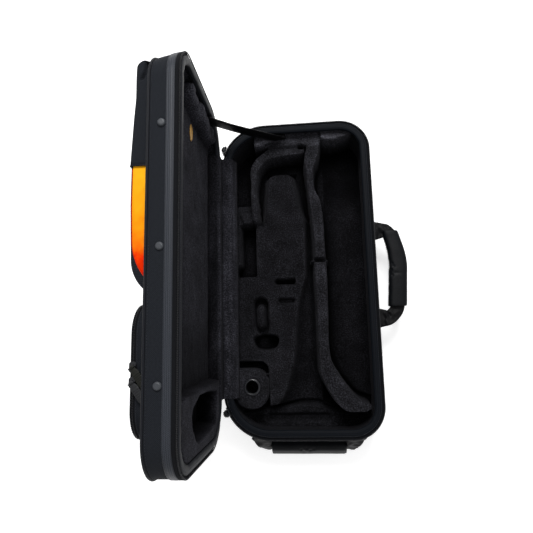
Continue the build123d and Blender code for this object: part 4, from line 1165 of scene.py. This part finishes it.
def makeMusicPocket():
    low, high = musicLook["low"], musicLook["high"]
    along = np.concatenate([np.arange(musicLook["toe"] + 0.05, -14.0, 2.2),
                            np.arange(-12.0, musicLook["mouth"] + 1, 5.0)])
    rows = []
    for y in along:
        top = float(musicHeight(y)) + 0.15
        section = boxSection(low, high, float(orangeHeight(y)), top, 2.4)
        rows.append(joined(section[:, 0], y, section[:, 1]))
    rows = np.array(rows)
    inside = blendStep(np.minimum(rows[..., 0] - low, high - rows[..., 0]), 0, 30)
    inside = inside * blendStep(rows[..., 1], -50, 0) * blendStep(104 - rows[..., 1], 0, 20)
    rows[..., 2] += inside * (0.9 + 0.5 * softNoise(rows[..., :2], 42.0, 41))
    face = gridMesh("musicPocketFace", onLidFace(rows), coverNylon, planar=rows[..., :2] * mm)
    finished(thickened(face, 1.3), "lid", ["music_pocket_face"])

    stations = np.concatenate([[-43.9, -42.5, -40, -37], np.arange(-34.0, musicLook["mouth"], 3.0)])
    share = np.linspace(0, 1, 12)
    for side, node in (("Outer", "music_pocket_outer_gusset"), ("Hinge", "music_pocket_hinge_gusset")):
        heights = orangeHeight(stations)[:, None] * share[None, :] + 0.05
        y = np.repeat(stations[:, None], len(share), 1)
        folds = softNoise(joined(y, heights * 2.2), 15.0, 43)
        folds = folds + 0.6 * softNoise(joined(y * 1.6 + heights * 2, heights), 7.0, 44)
        loose = blendStep(108 - y, 0, 14) * np.sin(math.pi * share)[None, :]
        push = loose * musicLook["billow"] * (0.3 + folds)
        u = high - 0.9 + push if side == "Outer" else low + 0.9 - push
        places = onLidFace(joined(u, y, heights))
        gusset = gridMesh("musicPocket" + side + "Gusset", places, orangeNylon, flip=side == "Outer")
        finished(gusset, "lid", [node])

    clear = musicLook["hoodClear"]
    tip, centre, radius = musicLook["hoodTip"], musicLook["hoodCentre"], musicLook["hoodRadius"]
    along = np.concatenate([np.arange(musicLook["hoodEdge"], 216, 5.0), np.arange(217.0, centre, 1.6),
                            centre + radius * np.sin(np.linspace(0, math.pi / 2, 14)) * 0.9995])
    rows = []
    for y in along:
        full = float(np.interp(y, *np.array(musicLook["hoodProfile"], float).T))
        drop = radius - math.sqrt(max(radius ** 2 - max(y - centre, 0.0) ** 2, 0.0))
        top = full - drop * 24.0 / radius if y > tip - 0.2 else full - drop
        section = boxSection(low - clear, high + clear, 0.4, top, 3.4, wall=16)
        rows.append(joined(section[:, 0], y, section[:, 1]))
    rows = np.array(rows)
    u, y, height = rows[..., 0].copy(), rows[..., 1].copy(), rows[..., 2].copy()
    edge = blendStep(np.minimum(u - low, high - u), -2, 26)
    rows[..., 2] += edge * 0.8 * softNoise(rows[..., :2], 40.0, 45) * blendStep(tip - y, 4, 20)
    # near the face the rounded tip draws back, and the side wall folds in along a slanted crease
    nearFace = np.clip(1 - height / 14.0, 0, 1)
    drawn = (tip - musicLook["hoodFoot"]) * (1 - np.sqrt(1 - nearFace ** 2))
    rows[..., 1] -= drawn * blendStep(y, 238, tip)
    outward = np.sign(u - (low + high) / 2)
    wall = blendStep(np.abs(u - (low + high) / 2), (high - low) / 2 - 1.5, (high - low) / 2 + 1.5)
    line = height - np.interp(y, *np.array(musicLook["hoodCrease"], float).T)
    crease = np.exp(-(line / 1.9) ** 2) * blendStep(y, 231, 239) * wall
    rows[..., 0] -= outward * crease * 6.0
    swell = 1.4 * blendStep(y, 234, 248) * blendStep(line, 0, 4) * blendStep(radius * 2 - line, 0, 12)
    rows[..., 0] += outward * wall * swell
    hood = gridMesh("musicPocketHood", onLidFace(rows), coverNylon,
                    planar=joined(u + height * wall, y) * mm)
    finished(thickened(hood, 1.2), "music_hood", ["music_pocket_hood"])

    # binding along the hood's mouth, and stitches beside it
    section = boxSection(low - clear, high + clear, 0.6, musicLook["hoodProfile"][0][1], 3.4)
    ring = fullTurn(8)
    normals = profileNormals(section, False)
    edge, grown = musicLook["hoodEdge"], 0.3 + 0.8 * np.cos(ring)
    tube = [joined(a + na * grown, edge + 0.8 + 1.3 * np.sin(ring), b + nb * grown)
            for (a, b), (na, nb) in zip(section, normals)]
    finished(ringShell("hoodBinding", onLidFace(np.array(tube)), satinBinding), "music_hood")
    lift = section + normals * 0.35
    seam, seamTop = (onLidFace(joined(spots[:, 0], edge + 4.2, spots[:, 1]))
                     for spots in (lift, lift + normals))
    stitched("hoodStitches", [(seam, (seamTop - seam) / mm, False)], musicLook["stitch"], "music_hood")
    # thin orange piping where the gusset meets the pocket's border
    y = np.concatenate([np.linspace(-43.8, -34, 10), np.arange(-30.0, 109.0, 4.0)])
    seams = []
    for u in (high + 0.15, low - 0.15):
        line = onLidFace(joined(u, y, orangeHeight(y) + 0.1))
        seams.append((line, (0.0, 0.0, 1.0 if u > 100 else -1.0), False))
    finished(beadLine("orangeSeam", seams, musicLook["orangeCord"], orangeSeamThread), "lid")


makeMusicPocket()

# accessory pocket
pocketLook = {
    "low": (60.0, -234.0), "high": (250.0, -68.0), "corner": 38.0, "height": 24.6, "zip": 19.5,
    "crown": 1.2,
    "tooth": (1.9, 1.3, 2.6, 1.5, 0.25), "piping": (1.4, 1.7), "stitch": (3.2, 2.3, 0.45, 0.4),
}


def makeAccessoryPocket():
    low, high, corner = pocketLook["low"], pocketLook["high"], pocketLook["corner"]
    plan = roundedOutline((low[0] + hingeX, low[1]), (high[0] + hingeX, high[1]), (corner,) * 4, 4.0, 6.0)
    face, top, chain = halfDepth["lid"], pocketLook["height"], pocketLook["zip"]
    points, normals, lengths = plan

    wall = [(0.35, chain - 2.6), (0.75, chain - 3.2), (0.75, chain - 4.6), (0.2, chain - 5.6), (0.1, 11.0),
            (0.25, 8.0), (0.35, 5.0), (0.2, 2.0), (0.3, 0.3)]

    def wallRelief(s, v, points):
        return 0.5 * softNoise(joined(s, v * 1.5), 24.0, 51) * blendStep(v, 3, 8)

    piece = sweepAround("pocketWall", "lid", plan, wall, coverNylon, relief=wallRelief, base=face)
    finished(piece, "lid", ["accessory_pocket_gusset"])

    rim = [(-6.0, top - 0.15), (-3.2, top - 0.25), (-1.2, top - 0.7), (0.3, top - 1.6), (0.8, top - 2.4),
           (0.8, chain + 3.0), (0.35, chain + 2.4), (-1.0, chain + 2.2), (-5.0, chain + 2.0)]
    rings = []
    centre = np.array([(low[0] + high[0]) / 2 + hingeX, (low[1] + high[1]) / 2])
    for share in (0.02, 0.1, 0.2, 0.32, 0.44, 0.56, 0.68, 0.78, 0.87, 0.93):
        shrunk = centre + (points + normals * -6.0 - centre) * share
        dome = pocketLook["crown"] * (1 - share ** 2.2) + 0.5 * softNoise(shrunk, 45.0, 52) * (1 - share)
        rings.append(atDepth(shrunk, top - 0.45 + dome + face))
    rings += [atDepth(points + normals * out, face + height) for out, height in rim]
    panel = ringShell("pocketPanel", inHalf("lid", rings), coverNylon)
    mesh = panel.data
    layer = mesh.uv_layers["UVMap"].data
    spots = np.empty(len(mesh.vertices) * 3)
    mesh.vertices.foreach_get("co", spots)
    spots = spots.reshape(-1, 3)
    index = np.empty(len(mesh.loops), np.int64)
    mesh.loops.foreach_get("vertex_index", index)
    layer.foreach_set("uv", spots[index][:, [2, 1]].ravel())
    finished(panel, "lid", ["accessory_pocket_panel"])

    keep = points[:, 0] > low[0] + hingeX + corner
    tape = [(0.2, chain + 2.6), (0.5, chain + 2.2), (0.5, chain - 2.2), (0.2, chain - 2.8)]
    finished(sweepAround("pocketZipTape", "lid", plan, tape, zipTape, base=face), "lid")
    line = lineAround("lid", plan, 0.9, chain, keep, faceOut=(1, 0), base=face)
    finished(beadLine("pocketZipTeeth", [line], pocketLook["tooth"], nylonCoil), "lid",
             ["accessory_pocket_zip"])
    radius, shift = pocketLook["piping"]
    turn = fullTurn(8)
    cord = [(shift + radius * math.cos(a), shift - radius * math.sin(a)) for a in turn]
    finished(sweepAround("pocketPiping", "lid", plan, cord, satinBinding, closed=True, base=face), "lid",
             ["accessory_pocket_piping"])
    seams = [lineAround("lid", plan, 0.95, chain + 3.3, base=face),
             lineAround("lid", plan, 0.95, chain - 4.0, base=face),
             lineAround("lid", plan, -4.4, top + 0.05, faceOut=(0, 1), base=face)]
    stitched("pocketStitches", seams, pocketLook["stitch"], "lid")


makeAccessoryPocket()
print("pockets made")


# zip pulls
def localPlace(origin, xWay, yWay, zWay):
    # turns (x, y, z) of a piece's own axes in mm into metres in the frame
    axes = np.array([xWay, yWay, zWay], float)
    return lambda places: (np.asarray(origin, float) + np.asarray(places, float) @ axes) * mm


def welded(name, parts):
    # one piece from several of one material
    whole = bmesh.new()
    for part in parts:
        whole.from_mesh(part.data)
    whole.to_mesh(parts[0].data)
    whole.free()
    for part in parts[1:]:
        bpy.data.objects.remove(part)
    parts[0].name = parts[0].data.name = name
    return parts[0]


pullLook = {
    "width": 9.6, "neck": 6.0, "thickness": 1.7, "tipRadius": 0.6,
    "ribFrom": 8.5, "ribTo": 22.0, "ribStep": 2.7, "ribHeight": 0.75,
    "eye": (1.3, 2.15, 3.0),                     # inner and outer radius, half its width
    "mainBar": 5.9, "pocketBar": 5.8,            # how far a slider's bar stands out
    "mainPark": 26.0,                            # degrees round the corners from the hinge side
    "pocketPark": {"bow_side": -145.0, "bell_side": -163.0},     # along the lid
    "pocketTurn": -56.0,                         # how the pocket's pulls hang, in degrees
}


def makePull(name, node, body, place, bar, material):
    # x runs along the slider's bar, y away from it along the tab, z out from the case
    first, last, step = pullLook["ribFrom"], pullLook["ribTo"], pullLook["ribStep"]
    stations = [1.6, 2.4, 3.2, 4.2, 5.4, 6.6, 7.6, *np.arange(first, last, step / 4), 23.0, 24.4, 25.4,
                26.2, 26.7, 27.0]
    rows = []
    for y in stations:
        width = pullLook["neck"] + (pullLook["width"] - pullLook["neck"]) * float(blendStep(y, 3.0, 6.5))
        if y > 23.5:
            width *= math.sqrt(max(1 - ((y - 23.5) / 3.9) ** 2 * 0.75, 0.1))
        ribbed = float(blendStep(y, first - 0.5, first + 0.5) * blendStep(last + 0.5 - y, 0, 1))
        rib = ribbed * (0.5 - 0.5 * math.cos(2 * math.pi * (y - first) / step))
        thick = pullLook["thickness"] * (0.85 if y < 3.4 else 1.0) + pullLook["ribHeight"] * 2 * rib
        if y > 26.0:
            thick *= 0.75
        ring = roundedSlab(width, thick, min(pullLook["tipRadius"], thick * 0.49), width)
        rows.append(joined(ring[:, 0], y, ring[:, 1] + bar))
    tab = ringShell(name, place(np.array(rows)), material)
    inner, outer, half = pullLook["eye"]
    turn = fullTurn(24)
    rows = []
    for radius, x in ((inner, -half), (outer - 0.2, -half), (outer, -half + 0.3), (outer, half - 0.3),
                      (outer - 0.2, half), (inner, half)):
        rows.append(joined(x, radius * np.cos(turn), bar + radius * np.sin(turn)))
    eye = outwardFaces(gridMesh(name + "Eye", place(np.array(rows)), material, closeRows=True,
                                closeColumns=True))
    finished(welded(name, [tab, eye]), body, [node])


parkAngle, hangAngle = math.radians(pullLook["mainPark"]), math.radians(pullLook["pocketTurn"])
for end, side in (("bow_end", 1), ("bell_end", -1)):
    out = np.array([-math.cos(parkAngle), side * math.sin(parkAngle), 0.0])
    radius = caseSize["hingeCorner"]
    corner = np.array([hingeX + radius, side * (caseSize["length"] / 2 - radius), rimZ])
    along = np.cross((0, 0, 1), out)
    makePull("mainPull" + end.split("_")[0].title(), "zip_pull_" + end, "zip_pull_" + end,
             localPlace(corner + out * radius, along, (0, 0, -1), out), pullLook["mainBar"], pullVinyl)
barWay = np.array([-math.sin(hangAngle), math.cos(hangAngle), 0.0])
for side, y in pullLook["pocketPark"].items():
    seat = (hingeX - halfDepth["lid"] - pocketLook["zip"], y, rimZ + pocketLook["high"][0])
    makePull("pocketPull" + side.split("_")[0].title(), "pocket_pull_" + side, "pocket_pull_" + side,
             localPlace(seat, barWay, (math.cos(hangAngle), math.sin(hangAngle), 0.0), (0, 0, 1)),
             pullLook["pocketBar"],
             pullVinyl if side == "bow_side" else pullVinylPale)
print("pulls made")


# carrying handles: webbing, padded grip and stitched anchors
handleLook = {
    "reach": 38.5, "webWidth": 24.5, "webThickness": 3.8,
    "gripWidth": 32.0, "pivotHeight": 60.0, "pivotGap": 4.1,
    "side": {"halfSpan": 80.0, "gripHalf": 69.0, "shift": 9.5, "flare": 0.4, "corners": (13.0, 23.0),
             "splay": 0.0, "taper": 0.1, "roll": 0.7, "crumple": 2.4, "thickness": 22.0, "seed": 61,
             "lean": [(-80, -5.5), (-60, -3.6), (-30, -1.2), (0, 1.0), (20, 2.2), (36, 1.0), (52, -2.2),
                      (69, -7.0), (84, -11.0)]},
    "end": {"halfSpan": 77.5, "gripHalf": 66.5, "shift": 0.0, "lean": [(-80, 0), (80, 0)], "flare": 0.45,
            "corners": (13.0, 13.0), "splay": 5.0,
            "taper": 0.0, "roll": 2.0, "crumple": 1.5, "thickness": 27.0, "seed": 71, "x": 7.0,
            "droop": 61.0},
    "patch": (26.0, 34.0, 1.0),
    "gripSquareness": 0.62,      # 1 is an oval section, 0 a box
    # dents in the grip: along it, round it in radians, how wide
    "dents": [(2.0, 2.05, 2.2), (-10.0, 1.8, 2.0), (-4.0, 2.4, 1.8), (-14.0, 2.2, 1.8), (8.0, 2.3, 1.8)],
    "gripStitch": (3.4, 2.6, 0.6, 0.6), "anchorStitch": (2.8, 2.0, 0.5, 0.45),
}


def gripBow(look, along):
    # how far the grip's line leans away from the wall, softened over its turns
    places, leans = np.array(look["lean"], float).T
    return sum(np.interp(along + near, places, leans) for near in (-9, -3, 3, 9)) / 4


def makeHandle(name, look, place):
    reach, span, grip = handleLook["reach"], look["halfSpan"], look["gripHalf"]
    seed = look["seed"]
    # webbing: a flat band whose arms fold and crumple as they turn
    arms = []
    for corner in look["corners"]:
        arm = [(x, span) for x in np.linspace(-1.0, reach - corner, 12)]
        arm += [(reach - corner + corner * math.sin(a), span - corner + corner * math.cos(a))
                for a in np.radians(np.linspace(0, 90, 14))[1:-1]]
        arm += [(reach, y) for y in np.linspace(span - corner, 0, 10)]
        arms.append([(x, y + look["splay"] * (1 - max(x, 0) / reach) ** 1.5) for x, y in arm])
    path = np.array(arms[0] + [(x, -y) for x, y in arms[1][-2::-1]])
    bow = gripBow(look, np.clip(path[:, 1], -grip - 6, grip + 6))
    path[:, 0] += bow * blendStep(path[:, 0], 6, reach - 4)
    ways = np.gradient(path, axis=0)
    ways = ways / np.linalg.norm(ways, axis=1, keepdims=True)
    sides = joined(-ways[:, 1], ways[:, 0])
    width, thick = handleLook["webWidth"], handleLook["webThickness"]
    section = np.concatenate([joined(np.linspace(-width / 2 + 1, width / 2 - 1, 11), thick / 2),
                              [[width / 2, thick * 0.25], [width / 2, -thick * 0.25]],
                              joined(np.linspace(width / 2 - 1, -width / 2 + 1, 11), -thick / 2),
                              [[-width / 2, -thick * 0.25], [-width / 2, thick * 0.25]]])
    rows = []
    distance = np.concatenate([[0], np.cumsum(np.linalg.norm(np.diff(path, axis=0), axis=1))])
    for k, (spot, way) in enumerate(zip(path, sides)):
        loose = float(blendStep(abs(spot[1]), grip - 6, grip + 3) * blendStep(spot[0], 1, 9))
        lines = joined(distance[k], section[:, 0] * 0.7 + distance[k] * 0.4)
        fold = softNoise(lines, 7.0, seed) + 0.6 * (1 - 2 * np.abs(softNoise(lines, 4.6, seed + 1)))
        squeeze = 1 - 0.1 * loose * abs(float(softNoise(np.array([[distance[k], 3.0]]), 14.0, seed + 2)[0]))
        squeeze += look["flare"] * float(blendStep(reach * 0.75 - spot[0], 0, reach * 0.75))
        roll = 1 + look["roll"] * loose * blendStep(spot[0], 6, 22)
        lift = section[:, 1] * roll + look["crumple"] * fold * loose
        plan = spot + way[None, :] * (section[:, 0] * squeeze)[:, None]
        rows.append(atDepth(plan, lift))
    body = name + "_handle"
    finished(ringShell(name + "HandleWebbing", place(np.array(rows)), strapWebbing), body,
             [body + "_webbing"])

    # grip: vinyl wrapped round foam, its seam and puckers on the wall's side
    turn = fullTurn(48)
    c, s = np.cos(turn), np.sin(turn)
    power = handleLook["gripSquareness"]
    halfWide, halfTall = handleLook["gripWidth"] / 2, look["thickness"] / 2
    ring = joined(np.sign(c) * np.abs(c) ** power * halfWide, np.sign(s) * np.abs(s) ** power * halfTall)
    stations = [(-grip + 3.5, 0.45), (-grip + 1.2, 0.78), (-grip + 0.1, 0.9), (-grip + 0.3, 0.965),
                (-grip + 1.6, 0.995)]
    stations += [(y, 1.0) for y in np.arange(-grip + 3.5, grip - 3.4, 1.8)]
    stations += [(grip - 3.5, 0.99), (grip - 1.6, 0.96), (grip - 0.3, 0.91), (grip - 0.1, 0.84),
                 (grip - 1.2, 0.72), (grip - 3.5, 0.45)]
    rows = []
    for y, scale in stations:
        lines = joined(y, turn * 9.0)
        inner = np.exp(-(np.angle(np.exp(1j * (turn - math.pi))) / 0.75) ** 2)
        puckers = softNoise(joined(y, turn * 3.0), 8.0, seed + 4) * inner
        dents = sum(np.exp(-((y - at) / wide) ** 2)
                    * np.exp(-(np.angle(np.exp(1j * (turn - angle))) / 0.2) ** 2)
                    for at, angle, wide in handleLook["dents"])
        lumps = 0.012 * softNoise(lines, 18.0, seed + 5) + 0.006 * softNoise(lines, 6.0, seed + 6)
        shape = 1.0 - look["taper"] * float(blendStep(y, -10, grip)) + 0.05 * puckers - 0.16 * dents + lumps
        plan = ring * (scale * shape)[:, None]
        lean = float(gripBow(look, y + look["shift"]))
        rows.append(joined(reach + lean + plan[:, 0], y + look["shift"], plan[:, 1]))
    finished(ringShell(name + "HandleGrip", place(np.array(rows)), gripVinyl), body,
             [body + "_grip"])
    # the seam where the wrap is sewn shut, on the side of the wall
    y = np.linspace(-grip + 3, grip - 3, 60)
    line = joined(reach + gripBow(look, y + look["shift"]) - halfWide - 0.05, y + look["shift"], -4.0)
    out = place(line + (-1.0, 0, 0)) - place(line)
    stitched(name + "GripStitches", [(place(line), out / mm, False)], handleLook["gripStitch"], body)


def makeAnchors(name, look, wallPlace):
    # stitched squares of webbing on the wall: (along the wall, height, out from it)
    long, tall, thick = handleLook["patch"]
    loop = roundedSlab(long, tall, 1.5)
    parts, stitches = [], []
    for centre in (-look["halfSpan"], look["halfSpan"]):
        rows = []
        for shrink, out in ((0.02, thick + 0.45), (0.5, thick + 0.45), (0.9, thick + 0.35),
                            (0.97, thick + 0.1), (1.0, thick - 0.3), (1.0, 0.1)):
            rows.append(joined(centre + loop[:, 0] * shrink, loop[:, 1] * shrink, out))
        parts.append(ringShell(name + "Part", wallPlace(np.array(rows)), strapWebbing))
        a, b = long / 2 - 2.5, tall / 2 - 2.5
        square = [(-a, -b), (a, -b), (a, b), (-a, b), (-a, -b)]
        for path in (square, [(-a, -b), (a, b)], [(-a, b), (a, -b)]):
            line = np.array([(centre + x, z, thick + 0.35) for x, z in path])
            ahead = wallPlace(line + (0, 0, 1.0)) - wallPlace(line)
            stitches.append((wallPlace(line), ahead / mm, False))
    finished(welded(name + "HandleAnchors", parts), "base", [name + "_handle_anchors"])
    stitched(name + "AnchorStitches", stitches, handleLook["anchorStitch"], "base")


height, gap = handleLook["pivotHeight"], handleLook["pivotGap"]
width, length = caseSize["width"] / 2, caseSize["length"] / 2
sideLook, endLook = handleLook["side"], handleLook["end"]
makeHandle("side", sideLook, localPlace((width + gap, 0, height), (1, 0, 0), (0, 1, 0), (0, 0, 1)))
makeAnchors("side", sideLook, localPlace((width + 0.2, 0, height), (0, 1, 0), (0, 0, 1), (1, 0, 0)))
droop = math.radians(endLook["droop"])
hangs, faces = (0, -math.cos(droop), -math.sin(droop)), (0, -math.sin(droop), math.cos(droop))
makeHandle("end", endLook, localPlace((endLook["x"], -length - gap, height), hangs, (1, 0, 0), faces))
makeAnchors("end", endLook,
            localPlace((endLook["x"], -length - 0.2, height), (1, 0, 0), (0, 0, 1), (0, -1, 0)))
print("handles made")


# finishes of the solids that stay
solidFinishes = {
    "base_shell": (shellFoam, "shell_foam"), "base_feet": (footRubber, "foot_rubber"),
    "lid_studs": (studPlastic, "stud_plastic"),
    "zip_slider_bow_end": (sliderEnamel, "slider_metal"),
    "zip_slider_bell_end": (sliderEnamel, "slider_metal"),
    "pocket_slider_bow_side": (sliderEnamel, "slider_metal"),
    "pocket_slider_bell_side": (sliderEnamel, "slider_metal"),
}
for node, (material, slot) in solidFinishes.items():
    solid = frame["nodes"][node]
    solid.data.materials.clear()
    solid.data.materials.append(material)
print("solids finished:", len(solidFinishes))

# floor, light and camera
floorMaterial, floorTree, floorShader = newMaterial("whiteVinylFloor",
                                                    {"Roughness": 0.9, "Specular IOR Level": 0.1})
floorShader.inputs["Base Color"].default_value = (1.0, 1.0, 1.0, 1.0)
pathNode = addNode(floorTree, "ShaderNodeLightPath")
seen = mathNode(floorTree, "MAXIMUM", pathNode.outputs["Is Camera Ray"], pathNode.outputs["Is Glossy Ray"])
floorShader.inputs["Emission Color"].default_value = (1.0, 1.0, 1.0, 1.0)
floorTree.links.new(mathNode(floorTree, "MULTIPLY", seen, 0.5), floorShader.inputs["Emission Strength"])
floorGrid = np.stack(np.meshgrid([-6.0, 6.0], [-6.0, 6.0], [0.0], indexing="ij"), -1)[:, :, 0, :]
floor = gridMesh("studioFloor", floorGrid, floorMaterial)

world = bpy.data.worlds.new("studio")
bpy.context.scene.world = world
world.use_nodes = True
sky = world.node_tree.nodes["Background"]
rays = addNode(world.node_tree, "ShaderNodeLightPath")
shown = mathNode(world.node_tree, "MAXIMUM", rays.outputs["Is Camera Ray"],
                 rays.outputs["Is Transmission Ray"])
sky.inputs["Color"].default_value = (1.0, 1.0, 1.0, 1.0)
world.node_tree.links.new(mathNode(world.node_tree, "MULTIPLY_ADD", shown, 0.5, 0.5),
                          sky.inputs["Strength"])


def addLight(name, place, target, size, power):
    lamp = bpy.data.lights.new(name, "AREA")
    lamp.shape, lamp.size, lamp.energy = "SQUARE", size, power
    holder = bpy.data.objects.new(name, lamp)
    bpy.context.scene.collection.objects.link(holder)
    holder.location = place
    holder.rotation_euler = (Vector(target) - Vector(place)).to_track_quat("-Z", "Y").to_euler()


# metres and watts: where each light stands, what it faces, its size and its power
lightLook = {
    "softKey": ((0.05, 1.1, 1.7), (-0.05, 0.1, 0.15), 0.8, 27.0),
    "softFill": ((0.8, -1.4, 1.8), (-0.03, 0.0, 0.1), 1.6, 5.0),
}
for name, look in lightLook.items():
    addLight(name, *look)

cameraLook = {
    "lens": 31.31,
    "sensor": 36.0,
    "place": (0.01824, -0.12089, 0.90864),
    "right": (0.99518153, -0.02242072, -0.09545176),
    "up": (0.03772509, 0.98611993, 0.16169202),
    "back": (0.09050163, -0.16451384, 0.98221416),
}
lens = bpy.data.cameras.new("caseCamera")
lens.lens, lens.sensor_width, lens.clip_start = cameraLook["lens"], cameraLook["sensor"], 0.01
camera = bpy.data.objects.new("caseCamera", lens)
bpy.context.scene.collection.objects.link(camera)
turned = Matrix([cameraLook["right"], cameraLook["up"], cameraLook["back"]]).transposed().to_4x4()
camera.matrix_world = Matrix.Translation(cameraLook["place"]) @ turned
bpy.context.scene.camera = camera
bpy.context.scene.view_settings.view_transform = "Standard"
print("light and camera set")


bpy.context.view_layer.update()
faceCount = sum(len(thing.data.polygons) for thing in bpy.context.scene.objects if thing.type == "MESH")
print("pieces:", faceCount, "faces")
